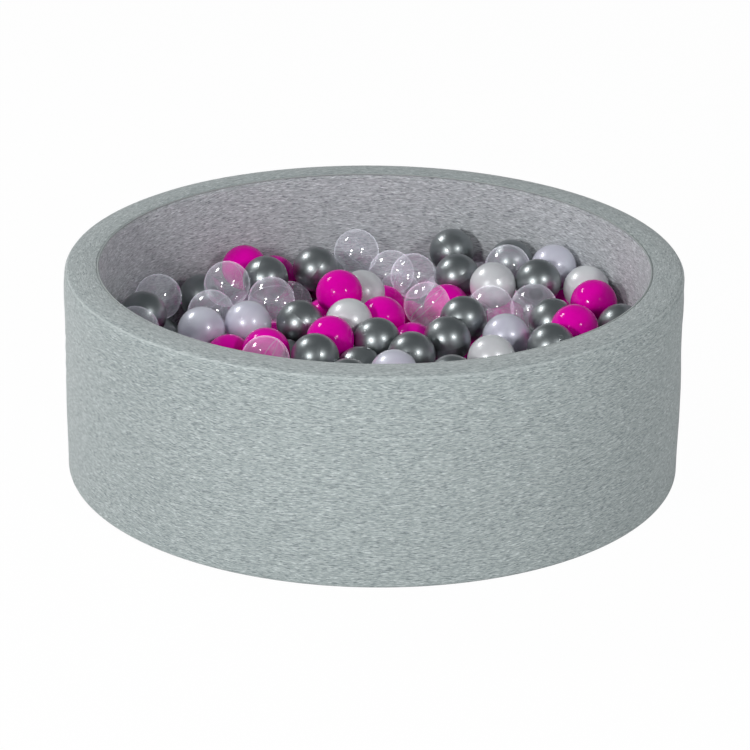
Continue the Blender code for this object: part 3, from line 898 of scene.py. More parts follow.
@dataclass(frozen=True)
class BallLook:
    """A play ball's plastic."""

    name: str
    base: Triple
    shade: Triple
    gloss: Pair
    metallic: float = 0.0
    specular: float = 0.5
    coat: float = 0.0
    coat_roughness: float = 0.05
    refraction: float = 1.49
    subsurface: float = 0.0
    subsurface_reach: Triple = (0.02, 0.02, 0.02)
    subsurface_scale: float = 0.3
    relief: float = 0.25 * MM
    relief_strength: float = 0.2

    def material(self, effects: Effects) -> bpy.types.Material:
        """The plastic's material, on object coordinates."""
        material, nodes, shader = start_material(self.name)
        plastic = nodes.effect(effects.moulded, {
            "Vector": nodes.add("TexCoord").outputs["Object"],
            "Base": opaque(self.base),
            "Shade": opaque(self.shade),
            "Gloss Low": self.gloss[0],
            "Gloss High": self.gloss[1],
        })
        nodes.feed(shader, {
            "Base Color": plastic.outputs["Color"],
            "Roughness": plastic.outputs["Roughness"],
            "Metallic": self.metallic,
            "Specular IOR Level": self.specular,
            "Coat Weight": self.coat,
            "Coat Roughness": self.coat_roughness,
            "IOR": self.refraction,
            "Subsurface Weight": self.subsurface,
            "Subsurface Radius": self.subsurface_reach,
            "Subsurface Scale": self.subsurface_scale,
        })
        add_relief(nodes, shader, plastic.outputs["Height"], self.relief, self.relief_strength)
        return material


@dataclass(frozen=True)
class ClearLook:
    """A play ball of clear plastic: a shell so thin that light goes straight through it."""

    name: str
    veil: Triple
    veil_roughness: float = 0.35
    haze: float = 0.14
    rim: float = 0.34
    gleam: float = 0.085
    gleam_power: float = 5.0
    gleam_roughness: float = 0.06
    seam_half_width: float = 0.8 * MM
    seam_veil: float = 0.28

    def material(self, effects: Effects) -> bpy.types.Material:
        """The clear plastic's material, on the ball's own surface coordinates, where the seam has length 0.

        What the shell mirrors is Schlick's g + (1 - g) * f^5, with f 0 head on and 1 edge on.
        """
        material, nodes, shader = start_material(self.name)
        facing = nodes.add("LayerWeight", Blend=0.5).outputs["Facing"]
        shell = nodes.effect(effects.shell, {
            "Vector": nodes.surface_place(),
            "Facing": facing,
            "Haze": self.haze,
            "Rim": self.rim,
            "Seam": 0.0,
            "Seam Width": self.seam_half_width,
            "Seam Veil": self.seam_veil,
        })
        nodes.feed(shader, {
            "Base Color": opaque(self.veil),
            "Roughness": self.veil_roughness,
            "Alpha": shell.outputs["Veil"],
        })
        edge = nodes.math("POWER", facing, self.gleam_power)
        gleam = nodes.math("MULTIPLY_ADD", edge, 1 - self.gleam, self.gleam)
        mirror = nodes.add("BsdfGlossy", Color=gleam, Roughness=self.gleam_roughness)
        both = nodes.add("AddShader", in0=shader.outputs[0], in1=mirror.outputs[0])
        target = next(node for node in nodes.tree.nodes if node.type == "OUTPUT_MATERIAL")
        nodes.put(target.inputs["Surface"], both.outputs[0])
        return material


BALL_LOOKS = {
    BallFinish.GRAPHITE: BallLook(
        "graphite", (0.30, 0.325, 0.33), (0.25, 0.275, 0.28), (0.36, 0.42),
        metallic=0.95, coat=0.45, coat_roughness=0.10,
    ),
    BallFinish.MAGENTA: BallLook(
        "magenta", (0.80, 0.0, 0.42), (0.73, 0.0, 0.38), (0.10, 0.14),
        specular=0.14,
    ),
    BallFinish.PEARL: BallLook(
        "pearl", (0.78, 0.80, 0.81), (0.71, 0.72, 0.74), (0.34, 0.40),
        metallic=0.2, coat=0.8,
    ),
    BallFinish.LILAC: BallLook(
        "lilac", (0.69, 0.70, 0.79), (0.63, 0.62, 0.73), (0.34, 0.40),
        metallic=0.15, coat=0.8, subsurface=0.25,
    ),
    BallFinish.CLEAR: ClearLook("clear", (0.82, 0.82, 0.92)),
}


@dataclass(frozen=True)
class PlainFinish:
    """A finish with its colour and gloss broken up by a noise."""

    name: str
    base: Triple
    shade: Triple
    gloss: Pair
    metallic: float = 0.0
    relief: float = 0.1 * MM
    relief_strength: float = 0.4
    grain: float = 900.0
    grain_limits: Pair = (0.3, 0.7)

    def material(self) -> bpy.types.Material:
        """The finish's material, on object coordinates."""
        material, nodes, shader = start_material(self.name)
        noise = nodes.noise(nodes.add("TexCoord").outputs["Object"], self.grain, 4.0)
        share = nodes.spread(noise, *self.grain_limits)
        nodes.feed(shader, {
            "Base Color": nodes.blend(share, opaque(self.base), opaque(self.shade)),
            "Roughness": nodes.spread(noise, *self.grain_limits, *self.gloss),
            "Metallic": self.metallic,
        })
        add_relief(nodes, shader, noise, self.relief, self.relief_strength)
        return material


@dataclass(frozen=True)
class WovenFinish:
    """A woven band or cloth by its two threads."""

    name: str
    warp: Triple
    weft: Triple
    threads: float
    roughness: float = 0.85
    relief: float = 0.3 * MM
    relief_strength: float = 0.5

    def material(self, effects: Effects) -> bpy.types.Material:
        """The weave's material, on the piece's own surface coordinates."""
        material, nodes, shader = start_material(self.name)
        weave = nodes.effect(effects.woven, {
            "Vector": nodes.surface_place(),
            "Warp": opaque(self.warp),
            "Weft": opaque(self.weft),
            "Threads Per Metre": self.threads,
        })
        nodes.feed(shader, {"Base Color": weave.outputs["Color"], "Roughness": self.roughness})
        add_relief(nodes, shader, weave.outputs["Height"], self.relief, self.relief_strength)
        return material


def node_points(frame: dict, node: str) -> Array:
    """The corner points of a node of the frame."""
    mesh = frame["nodes"][node].data
    points = np.zeros(len(mesh.vertices) * 3, np.float32)
    mesh.vertices.foreach_get("co", points)
    return points.reshape(-1, 3).astype(float)


def node_angles(frame: dict, node: str) -> Array:
    """The angles round the Z axis of a node's points, for a node at the back of the tub."""
    points = node_points(frame, node)
    return np.arctan2(points[:, 1], points[:, 0])


def body_of_node(frame: dict, node: str) -> str:
    """The name of the body that a node belongs to."""
    bodies = frame["record"]["behaviour"]["bodies"]
    return next(body for body, nodes in bodies.items() if node in nodes)


@dataclass
class SoftTub:
    """The foam tub: covers, seams and the foam inside them, round the frame's own sizes.

    The covers are cover_thickness thick and uneven by a lump, which is a deviation, and they stand in and out
    by no more than sunk_lumps and proud_lumps of it. The outer one is still below calm_low, by the zip, waves
    freely above calm_high, and comes to rest within calm_rim of the rim seam. Over the rim it is arched by
    rim_crown. The pieces inside are coarser by hidden_coarseness. The foam ring steps in by foam_step round
    its foot, which leaves room for the zip.
    """

    effects: Effects
    frame: dict
    steps: int = 384
    row_spacing: float = 6.0 * MM
    hidden_coarseness: int = 4
    underside_coarseness: int = 2
    bed_gap: float = 0.3 * MM
    cover_thickness: float = 1.2 * MM
    cover_lump: float = 0.9 * MM
    cover_seed: int = 11
    inner_lump: float = 0.7 * MM
    inner_seed: int = 23
    inner_sunk_lumps: float = 2.0
    inner_proud_lumps: float = 1.0
    inner_ease: float = 0.3
    sunk_lumps: float = 3.0
    proud_lumps: float = 2.0
    calm_low: float = 36 * MM
    calm_high: float = 90 * MM
    calm_rim: float = 16 * MM
    window_height: float = 12 * MM
    rim_round: float = 9.0 * MM
    rim_inner_drop: float = 3.0 * MM
    rim_inner_round_share: float = 0.8
    rim_crown: float = 1.2 * MM
    base_round: float = 6.0 * MM
    bead_share: float = 1.2
    bead_sides: int = 8
    stitch_length: float = 4.5 * MM
    stitch_points: int = 4
    stitch_depth_share: float = 0.2
    foam_clearance: float = 3.0 * MM
    foam_step: float = 4.0 * MM
    foam_step_low: float = 46.0 * MM
    foam_step_high: float = 50.0 * MM
    foam_step_round: float = 2.0 * MM
    foam_foot_round: float = 4.0 * MM
    foam_rim_round: float = 8.0 * MM
    foam_inner_round: float = 5.0 * MM
    pad_round: float = 5.0 * MM
    foam_arc_steps: int = 4
    outer_radius: float = field(init=False)
    inner_radius: float = field(init=False)
    height: float = field(init=False)

    def __post_init__(self) -> None:
        """Reads the tub's sizes from the frame."""
        self.outer_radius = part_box("outer_cover")[1].x
        self.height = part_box("outer_cover")[1].z
        self.inner_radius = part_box("ball_bed")[1].x + self.bed_gap

    def cover_path(self) -> Array:
        """The outer cover's outside: from the base seam up the wall, over the rim and down to the rim seam.

        Over the rim it is raised by crown * sin(pi * share), with share the part of the way across.
        """
        seam_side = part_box("base_seam")[1].x
        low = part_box("outer_cover")[0].z
        rim_seam_side = self.inner_radius + (self.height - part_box("rim_seam")[0].z)
        inner_round = self.rim_inner_drop * self.rim_inner_round_share
        corners = np.array((
            (seam_side, low),
            (self.outer_radius, low),
            (self.outer_radius, self.window_low()),
            (self.outer_radius, self.window_low() + self.window_height),
            (self.outer_radius, self.height),
            (rim_seam_side, self.height),
            (rim_seam_side, self.height - self.rim_inner_drop),
        ))
        radii = np.array((0, self.base_round, 0, 0, self.rim_round, inner_round, 0))
        path = rounded_path(corners, radii, self.row_spacing)
        over = np.clip((path[:, 0] - rim_seam_side) / (self.outer_radius - rim_seam_side), 0, 1)
        on_top = path[:, 1] > self.height - self.rim_round
        path[:, 1] += np.where(on_top, self.rim_crown * np.sin(math.pi * over), 0)
        return path

    def window_low(self) -> float:
        """The lower edge of the opening for the zip, which lies round the chain's middle."""
        low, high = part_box("zip_chain")
        return (low.z + high.z - self.window_height) / 2

    def calm(self, path: Array) -> Array:
        """How freely the cover waves at each place: not at all by the zip and by the rim seam."""
        low = (path[:, 1] - self.calm_low) / (self.calm_high - self.calm_low)
        lengths = run_lengths(path)
        return np.clip(low, 0, 1) * np.clip((lengths[-1] - lengths) / self.calm_rim, 0, 1)

    def cover_push(self, path: Array, seed: int, amplitude: float) -> Array:
        """How far a panel stands proud at each angle and place, in metres.

        Args:
            path: the panel's line, from one seam to the other.
            seed: which lumps the foam has.
            amplitude: the deviation.

        Returns:
            The distances, of shape (steps, points).
        """
        lumps = Lumps(seed)
        stand_off = PressedPanel().stand_off(path, lumps, self.steps)
        log.info("the panel's cloth moved by up to %.2f mm", stand_off.max() / MM)
        even = stand_off - stand_off.mean()
        return amplitude * np.clip(even / even.std(), -self.sunk_lumps, self.proud_lumps)

    def sheet_of(self, path: Array, push: Array, thickness: float) -> Surface:
        """A closed sheet: the outside along a line, and the inside one thickness behind it."""
        inside = path - normals_of(path) * thickness
        loop = np.concatenate([path, inside[::-1]])
        both = np.concatenate([push, -push[:, ::-1]], axis=1)
        return revolve(loop, self.steps, both, closed=True)

    def with_window(self, sheet: Surface, path: Array) -> Surface:
        """Opens the cover's sheet for the zip, and hems the opening round.

        The sheet's faces are listed column by column, and in a column along the outside and back along the
        inside, so a face's place tells which row of the cover it belongs to.

        Args:
            sheet: the closed sheet of the cover.
            path: the line of its outside.

        Returns:
            The sheet with the opening.
        """
        rows, round_count = len(path), 2 * len(path)
        spread = node_angles(self.frame, "zip_chain") / FULL_TURN * self.steps
        start, stop = int(round(spread.min())), int(round(spread.max()))
        levels = (self.window_low(), self.window_low() + self.window_height)
        wall = np.where(path[:, 0] > self.outer_radius - ON_LEVEL, path[:, 1], np.inf)
        first, last = (int(np.abs(wall - level).argmin()) for level in levels)
        column, place = np.divmod(np.arange(len(sheet.quads)), round_count)
        row = np.where(place < rows, place, round_count - 2 - place)
        cut = (column >= start) & (column < stop) & (row >= first) & (row < last)

        def outside(at: Array, level: Array) -> Array:
            """The index of a point of the outside."""
            return at * round_count + level

        def inside(at: Array, level: Array) -> Array:
            """The index of the point of the inside that lies behind it."""
            return at * round_count + round_count - 1 - level

        along, up = np.arange(start, stop), np.arange(first, last)
        after, above = along + 1, up + 1
        hems = [
            (outside(along, first), outside(after, first), inside(after, first), inside(along, first)),
            (inside(along, last), inside(after, last), outside(after, last), outside(along, last)),
            (inside(start, up), inside(start, above), outside(start, above), outside(start, up)),
            (outside(stop, up), outside(stop, above), inside(stop, above), inside(stop, up)),
        ]
        added = np.concatenate([np.stack(hem, axis=1) for hem in hems])
        steps, level = np.divmod(added, round_count)
        ring = np.abs(path[:, 0]).max()
        lengths = np.concatenate([run_lengths(path), run_lengths(path)[::-1]])
        added_uv = np.stack([steps * FULL_TURN / self.steps * ring, lengths[level]], axis=2)
        quads = np.concatenate([sheet.quads[~cut], added])
        quad_uv = np.concatenate([sheet.quad_uv[~cut], added_uv])
        return Surface(sheet.points, quads, quad_uv, sheet.triangles, sheet.triangle_uv)

    def outer_cover(self) -> bpy.types.Object:
        """The jersey panel that forms the outside wall and runs over the rim."""
        path = self.cover_path()
        push = self.cover_push(path, self.cover_seed, self.cover_lump) * self.calm(path)
        surface = self.with_window(self.sheet_of(path, push, self.cover_thickness), path)
        edge = np.linalg.norm(path - np.array((self.outer_radius, self.height)), axis=1).argmin()
        # The rim's outer edge carries a painted highlight along its crease
        finish = JerseyFinish(
            "heather_jersey", (0.362, 0.408, 0.406), (0.645, 0.70, 0.69), (0.15, 0.183, 0.19),
            fleck_length=7.2 * MM, fleck_height=1.08 * MM, crease=float(run_lengths(path)[edge]),
        )
        made = make_object("jersey_outer_cover", surface, finish.material(self.effects))
        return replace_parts(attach(made, "tub"), "outer_cover")

    def inner_cover(self) -> bpy.types.Object:
        """The jersey panel on the inside of the wall, from the rim seam down to the floor.

        Its unevenness is multiplied by sin(pi * share)^ease, with share the part of the way down.
        """
        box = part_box("inner_cover")
        count = math.ceil((box[1].z - box[0].z) / self.row_spacing)
        heights = np.linspace(box[1].z, box[0].z, count)
        path = np.stack([np.full(count, self.inner_radius + self.inner_lump), heights], axis=1)
        ease = np.sin(math.pi * np.linspace(0, 1, count)) ** self.inner_ease
        push = self.cover_push(path, self.inner_seed, self.inner_lump) * ease
        sunk, proud = self.inner_sunk_lumps * self.inner_lump, self.inner_proud_lumps * self.inner_lump
        push = np.clip(push, -sunk, proud)
        surface = self.sheet_of(path, push, self.cover_thickness)
        # The same cloth as the outer cover, painted lighter to stand in for the light on the inside of the
        # wall
        finish = JerseyFinish(
            "inner_jersey", (0.505, 0.53, 0.55), (0.84, 0.86, 0.88), (0.18, 0.19, 0.21),
            fleck_length=7.6 * MM, fleck_height=1.15 * MM,
        )
        made = make_object("jersey_inner_cover", surface, finish.material(self.effects))
        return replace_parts(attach(made, "tub"), "inner_cover")

    def disc(self, box: tuple[Vector, Vector], coarseness: int, edge_round: float = 0.0) -> Surface:
        """A disc of the frame: out along its underside, up its edge and back over its top.

        Args:
            box: the lowest and the highest corner of the disc's box.
            coarseness: how many times fewer steps it has round than the covers.
            edge_round: the radius of both its edges.

        Returns:
            The disc.
        """
        low, high = box
        corners = np.array(((0, low.z), (high.x, low.z), (high.x, high.z), (0, high.z)))
        radii = np.array((0, edge_round, edge_round, 0))
        spacing = self.hidden_coarseness * self.row_spacing
        path = rounded_path(corners, radii, spacing, self.foam_arc_steps)
        return revolve(path, self.steps // coarseness)

    def floor_cover(self) -> bpy.types.Object:
        """The jersey disc on top of the foam floor."""
        finish = JerseyFinish("floor_jersey", (0.34, 0.34, 0.358), (0.60, 0.60, 0.61), (0.13, 0.13, 0.145))
        surface = self.disc(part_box("floor_cover"), self.hidden_coarseness)
        made = make_object("jersey_floor_cover", surface, finish.material(self.effects))
        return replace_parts(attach(made, "tub"), "floor_cover")

    def seam(self, node: str, name: str, material: bpy.types.Material) -> bpy.types.Object:
        """A sewn ridge: a cord whose radius swells between the stitches.

        Its radius at angle a is reach + depth * r * (|sin(n * a / 2)| - 1), for n stitches round the tub. Its
        reach is a little more than the radius r of the frame's seam, but never past the floor.

        Args:
            node: the frame's seam that it stands for.
            name: the piece's name.
            material: its material.

        Returns:
            The seam.
        """
        low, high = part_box(node)
        radius = (high.z - low.z) / 2
        ring, level = high.x - radius, (high.z + low.z) / 2
        stitches = round(FULL_TURN * ring / self.stitch_length)
        count = self.stitch_points * stitches
        turn = np.linspace(0, FULL_TURN, self.bead_sides + 1)[:-1]
        reach = min(radius * self.bead_share, level)
        path = np.stack([ring + reach * np.cos(turn), level + reach * np.sin(turn)], axis=1)
        swell = np.abs(np.sin(stitches * np.arange(count) * math.pi / count))
        push = np.repeat((radius * self.stitch_depth_share * (swell - 1))[:, None], len(path), axis=1)
        made = make_object(name, revolve(path, count, push, closed=True), material)
        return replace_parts(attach(made, "tub"), node)

    def foam_ring_path(self) -> Array:
        """The foam ring's section, as a closed line that starts half-way up its inner side."""
        low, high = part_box("wall_foam_ring")
        inner, outer = self.inner_radius + 2 * self.foam_clearance, high.x - self.foam_clearance
        bottom, top = low.z + self.foam_clearance, high.z - self.foam_clearance
        foot, middle = outer - self.foam_step, (bottom + top) / 2
        corners = np.array((
            (inner, middle),
            (inner, bottom),
            (foot, bottom),
            (foot, self.foam_step_low),
            (outer, self.foam_step_high),
            (outer, top),
            (inner, top),
            (inner, middle),
        ))
        radii = np.array((
            0,
            self.foam_foot_round,
            self.foam_foot_round,
            self.foam_step_round,
            self.foam_step_round,
            self.foam_rim_round,
            self.foam_inner_round,
            0,
        ))
        spacing = self.hidden_coarseness * self.row_spacing
        return rounded_path(corners, radii, spacing, self.foam_arc_steps)[:-1]

    def foam(self) -> list[bpy.types.Object]:
        """The foam ring of the wall and the foam disc of the floor, both inside the covers."""
        material = PlainFinish(
            "foam", (0.80, 0.78, 0.68), (0.66, 0.63, 0.53), (0.9, 0.98), relief=0.8 * MM, grain=700.0
        ).material()
        ring = revolve(self.foam_ring_path(), self.steps // self.hidden_coarseness, closed=True)
        wall = make_object("foam_wall_ring", ring, material)
        disc = self.disc(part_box("base_foam_pad"), self.hidden_coarseness, self.pad_round)
        pad = make_object("foam_base_pad", disc, material)
        for made, node in ((wall, "wall_foam_ring"), (pad, "base_foam_pad")):
            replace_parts(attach(made, "tub"), node)
        return [wall, pad]

    def underside(self) -> bpy.types.Object:
        """The tough woven panel that the tub stands on."""
        finish = WovenFinish("underside_weave", (0.05, 0.05, 0.055), (0.03, 0.03, 0.034), 900.0)
        surface = self.disc(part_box("underside_panel"), self.underside_coarseness)
        made = make_object("underside_cloth", surface, finish.material(self.effects))
        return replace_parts(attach(made, "tub"), "underside_panel")

    def build(self) -> list[bpy.types.Object]:
        """Builds the whole tub."""
        thread = PlainFinish(
            "seam_thread", (0.40, 0.435, 0.43), (0.32, 0.35, 0.345), (0.75, 0.9), grain=1500.0
        ).material()
        return [
            self.outer_cover(),
            self.inner_cover(),
            self.floor_cover(),
            self.seam("rim_seam", "sewn_rim_seam", thread),
            self.seam("floor_seam", "sewn_floor_seam", thread),
            self.seam("base_seam", "sewn_base_seam", thread),
            *self.foam(),
            self.underside(),
        ]


@dataclass
class RearZip:
    """The zip round the back of the wall: woven tapes, moulded teeth, end stops, slider and pull.

    A taper is the share by which an outline narrows to one end and widens to the other. The squareness is the
    power of the plates' squared ellipses, which 1 leaves round and 0 makes square.
    """

    effects: Effects
    frame: dict
    tape_steps: int = 240
    tooth_pitch: float = 2.0 * MM
    tooth_width: float = 0.85 * MM
    tooth_overlap: float = 1.6 * MM
    tooth_chamfer: float = 0.25 * MM
    squareness: float = 0.55
    plate_steps: int = 48
    plate_round: float = 0.5 * MM
    plate_bulge_share: float = 0.93
    slider_length: float = 10.0 * MM
    slider_taper: float = 0.16
    bridge_width: float = 1.6 * MM
    bridge_bar: float = 0.9 * MM
    bridge_sides: int = 10
    bridge_bend: float = 1.3 * MM
    bridge_spacing: float = 0.8 * MM
    bridge_inset: float = 0.3 * MM
    pull_taper: float = 0.12
    pull_steps: int = 40
    pull_round: float = 0.25 * MM
    eye_reach_share: float = 0.4
    start: float = field(init=False)
    stop: float = field(init=False)
    parked: float = field(init=False)
    chain_inner: float = field(init=False)
    chain_outer: float = field(init=False)
    chain_width: float = field(init=False)
    level: float = field(init=False)

    def __post_init__(self) -> None:
        """Reads the zip's run, and where its slider is parked, from the frame."""
        angles = node_angles(self.frame, "zip_chain")
        self.start, self.stop = angles.min(), angles.max()
        self.parked = self.bearing(node_points(self.frame, "zip_slider"))
        reach = np.linalg.norm(node_points(self.frame, "zip_chain")[:, :2], axis=1)
        self.chain_inner, self.chain_outer = reach.min(), reach.max()
        low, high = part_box("zip_chain")
        self.level, self.chain_width = (low.z + high.z) / 2, high.z - low.z

    def bearing(self, points: Array) -> float:
        """The angle round the Z axis of the middle of some points."""
        across, along, _ = points.mean(axis=0)
        return math.atan2(along, across)

    def about(self, angle: float) -> Array:
        """The axes of a place on the zip, as columns: out of the wall, along it and up."""
        out = np.array((math.cos(angle), math.sin(angle), 0))
        return np.stack([out, (-out[1], out[0], 0), (0, 0, 1)], axis=1)

    def tape(self, node: str, name: str, material: bpy.types.Material) -> bpy.types.Object:
        """A woven band behind the cover, of rectangular section, that follows the wall."""
        low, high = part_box(node)
        reach = np.linalg.norm(node_points(self.frame, node)[:, :2], axis=1)
        near, far = reach.min(), reach.max()
        ring = np.array(((near, low.z), (far, low.z), (far, high.z), (near, high.z)))
        angles = np.linspace(self.start, self.stop, self.tape_steps)
        flat = ring[:, :1] * np.cos(angles), ring[:, :1] * np.sin(angles)
        stations = np.stack([*flat, np.repeat(ring[:, 1:], len(angles), axis=1)], axis=2)
        round_lengths = run_lengths(np.concatenate([ring, ring[:1]]))
        made = make_object(name, tube(round_lengths, stations), material, smooth=False)
        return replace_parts(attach(made, "tub"), node)

    def tooth(self, low: float, high: float) -> Surface:
        """A tooth at angle 0: a six-sided bar that stands upright, chamfered on its outer side."""
        side, chamfer = self.tooth_width / 2, self.tooth_chamfer
        ring = np.array((
            (self.chain_inner, -side),
            (self.chain_outer - chamfer, -side),
            (self.chain_outer, chamfer - side),
            (self.chain_outer, side - chamfer),
            (self.chain_outer - chamfer, side),
            (self.chain_inner, side),
        ))
        ends = [np.column_stack([ring, np.full(len(ring), height)]) for height in (low, high)]
        return tube(run_lengths(np.concatenate([ring, ring[:1]])), np.stack(ends, axis=1))

    def chain(self) -> bpy.types.Object:
        """The closed chain: the teeth of the lower and the upper tape by turns, which pass one another.

        Tooth k of n stands at angle start + (k + 1/2) / n * (stop - start).
        """
        half = self.chain_width / 2
        reach = self.tooth_overlap / 2
        pair = (
            self.tooth(self.level - half, self.level + reach),
            self.tooth(self.level - reach, self.level + half),
        )
        count = int((self.stop - self.start) * self.chain_outer / self.tooth_pitch) * 2
        angles = self.start + (np.arange(count) + 0.5) / count * (self.stop - self.start)
        teeth = [pair[number % 2].turned(self.about(angle)) for number, angle in enumerate(angles)]
        plastic = PlainFinish(
            "zip_teeth", (0.36, 0.37, 0.37), (0.30, 0.31, 0.31), (0.35, 0.5), relief=0.02 * MM
        ).material()
        made = make_object("zip_teeth", joined(teeth), plastic, smooth=False)
        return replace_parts(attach(made, "tub"), "zip_chain")

    def plate(self, length: float, width: float, thickness: float, taper: float) -> Surface:
        """A plate that stands on the chain, about the middle of its back.

        Its outline is a squared ellipse: along = length / 2 * |cos t|^s and up = width / 2 * |sin t|^s, each
        with its sign, and up is multiplied by 1 - taper * cos t. Towards both faces the outline draws in.

        Args:
            length: its size along the zip.
            width: its size upwards.
            thickness: how far it stands out of the wall.
            taper: by what share it narrows towards its front end.

        Returns:
            The plate, as out of the wall, along the zip and up.
        """
        turn = np.arange(self.plate_steps) * FULL_TURN / self.plate_steps
        cosine, sine = np.cos(turn), np.sin(turn)
        along = length / 2 * self.squared(cosine)
        up = width / 2 * self.squared(sine) * (1 - taper * cosine)
        inset = 1 - 2 * self.plate_round / width
        profile = (
            (inset, 0),
            (1, self.plate_round),
            (1, thickness - self.plate_round),
            ((1 + inset) / 2, thickness * self.plate_bulge_share),
            (inset, thickness),
            (inset / 2, thickness),
        )
        rows = [
            np.column_stack([np.full(len(turn), out), along * share, up * share]) for share, out in profile
        ]
        return tube(np.linspace(0, 2 * (length + width), len(turn) + 1), np.stack(rows, axis=1))

    def squared(self, wave: Array) -> Array:
        """A cosine or a sine raised to the squareness, with its sign kept."""
        return np.sign(wave) * np.abs(wave) ** self.squareness

    def stops(self, material: bpy.types.Material) -> list[bpy.types.Object]:
        """The metal clamps at both ends of the chain."""
        made = []
        for node in ("zip_stop_open_end", "zip_stop_closed_end"):
            points = node_points(self.frame, node)
            axes = self.about(self.bearing(points))
            local = points @ axes
            low, high = local.min(axis=0), local.max(axis=0)
            thickness, length, width = high - low
            seat = np.array((low[0], (high[1] + low[1]) / 2, self.level))
            surface = self.plate(length, width, thickness, 0.0).moved(seat).turned(axes)
            piece = make_object("metal_" + node, surface, material)
            made.append(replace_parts(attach(piece, "tub"), node))
        return made

    def bridge(self, back: float, crown: float, reach: float) -> Surface:
        """The loop on the slider that the pull hangs on: an oval bar bent over twice.

        At turn t round the bar, a point stands bar / 2 * cos t off the line and width / 2 * sin t across it.

        Args:
            back: how thick the slider's body is, in which both its feet stand.
            crown: how far its top stands out of the wall.
            reach: how far it reaches up and down.

        Returns:
            The loop, as out of the wall, along the zip and up.
        """
        half, foot = self.bridge_bar / 2, back / 2
        top, side = crown - half, reach - half
        corners = np.array(((foot, -side), (top, -side), (top, side), (foot, side)))
        radii = np.array((0, self.bridge_bend, self.bridge_bend, 0))
        line = rounded_path(corners, radii, self.bridge_spacing, arc_steps=5)
        turn = np.arange(self.bridge_sides) * FULL_TURN / self.bridge_sides
        across = np.repeat(self.bridge_width / 2 * np.sin(turn)[:, None], len(line), 1)
        points = line[None] + (half * np.cos(turn))[:, None, None] * normals_of(line)[None]
        stations = np.stack([points[..., 0], across, points[..., 1]], axis=2)
        girth = math.pi * (self.bridge_width + self.bridge_bar) / 2
        return tube(np.linspace(0, girth, self.bridge_sides + 1), stations)

    def slider(self, material: bpy.types.Material) -> bpy.types.Object:
        """The slider in front of the chain, with its bridge."""
        axes = self.about(self.parked)
        local = node_points(self.frame, "zip_slider") @ axes
        face, crown = local[:, 0].min(), local[:, 0].max()
        width = local[:, 2].max() - local[:, 2].min()
        thickness = self.body_thickness(local)
        body = self.plate(self.slider_length, width, thickness, self.slider_taper)
        surface = joined([body, self.bridge(thickness, crown - face, width / 2 - self.bridge_inset)])
        seat = np.array((face, 0, self.level))
        made = make_object("metal_zip_slider", surface.moved(seat).turned(axes), material)
        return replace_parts(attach(made, "zip_slider"), "zip_slider")

    def body_thickness(self, local: Array) -> float:
        """How thick the slider's body is: where its points lie widest along the zip."""
        wide = np.abs(local[:, 1] - local[:, 1].mean()) > self.bridge_width
        return local[wide, 0].max() - local[wide, 0].min()

    def pull(self, material: bpy.types.Material) -> bpy.types.Object:
        """The pull: a tapered tab with an eye, hung on the bridge.

        Both outlines are squared ellipses, and the section between them is a rounded rectangle.
        """
        axes = self.about(self.parked)
        local = node_points(self.frame, "zip_pull") @ axes
        low, high = local.min(axis=0), local.max(axis=0)
        eye = local[np.abs(local[:, 1]) < (high[1] - low[1]) * self.eye_reach_share]
        turn = np.arange(self.pull_steps) * FULL_TURN / self.pull_steps

        def outline(bottom: float, top: float, width: float, taper: float) -> Array:
            """A closed outline between two heights, as along and up."""
            cosine, sine = np.cos(turn), np.sin(turn)
            up = (top + bottom) / 2 + (top - bottom) / 2 * self.squared(sine)
            along = width / 2 * self.squared(cosine) * (1 - taper * sine)
            return np.stack([along, up], axis=1)

        tab = outline(low[2], high[2], high[1] - low[1], self.pull_taper)
        hole = outline(eye[:, 2].min(), eye[:, 2].max(), eye[:, 1].max() - eye[:, 1].min(), 0.0)
        across = (hole - tab) * self.pull_round / np.linalg.norm(hole - tab, axis=1, keepdims=True)
        near, far = low[0], high[0]
        face = (hole - across, (tab + hole) / 2, tab + across)
        lines = (
            (hole, near + self.pull_round),
            *((line, near) for line in face),
            (tab, near + self.pull_round),
            (tab, far - self.pull_round),
            *((line, far) for line in reversed(face)),
            (hole, far - self.pull_round),
        )
        grid = np.stack([np.column_stack([np.full(len(turn), out), line]) for line, out in lines], axis=1)
        lengths = [np.arange(count + 1) * MM for count in grid.shape[:2]]
        surface = outward(grid_surface(grid, *lengths, True, True))
        made = make_object("metal_zip_pull", surface.turned(axes), material)
        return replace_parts(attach(made, "zip_pull"), "zip_pull")

    def build(self) -> list[bpy.types.Object]:
        """Builds the whole zip."""
        tape = WovenFinish("zip_tape", (0.36, 0.38, 0.375), (0.27, 0.285, 0.28), 1400.0)
        woven = tape.material(self.effects)
        metal = PlainFinish(
            "zip_metal", (0.62, 0.62, 0.62), (0.52, 0.52, 0.53), (0.22, 0.36), metallic=1.0, relief=0.02 * MM
        ).material()
        return [
            self.tape("zip_tape_upper", "woven_tape_upper", woven),
            self.tape("zip_tape_lower", "woven_tape_lower", woven),
            self.chain(),
            *self.stops(metal),
            self.slider(metal),
            self.pull(metal),
        ]


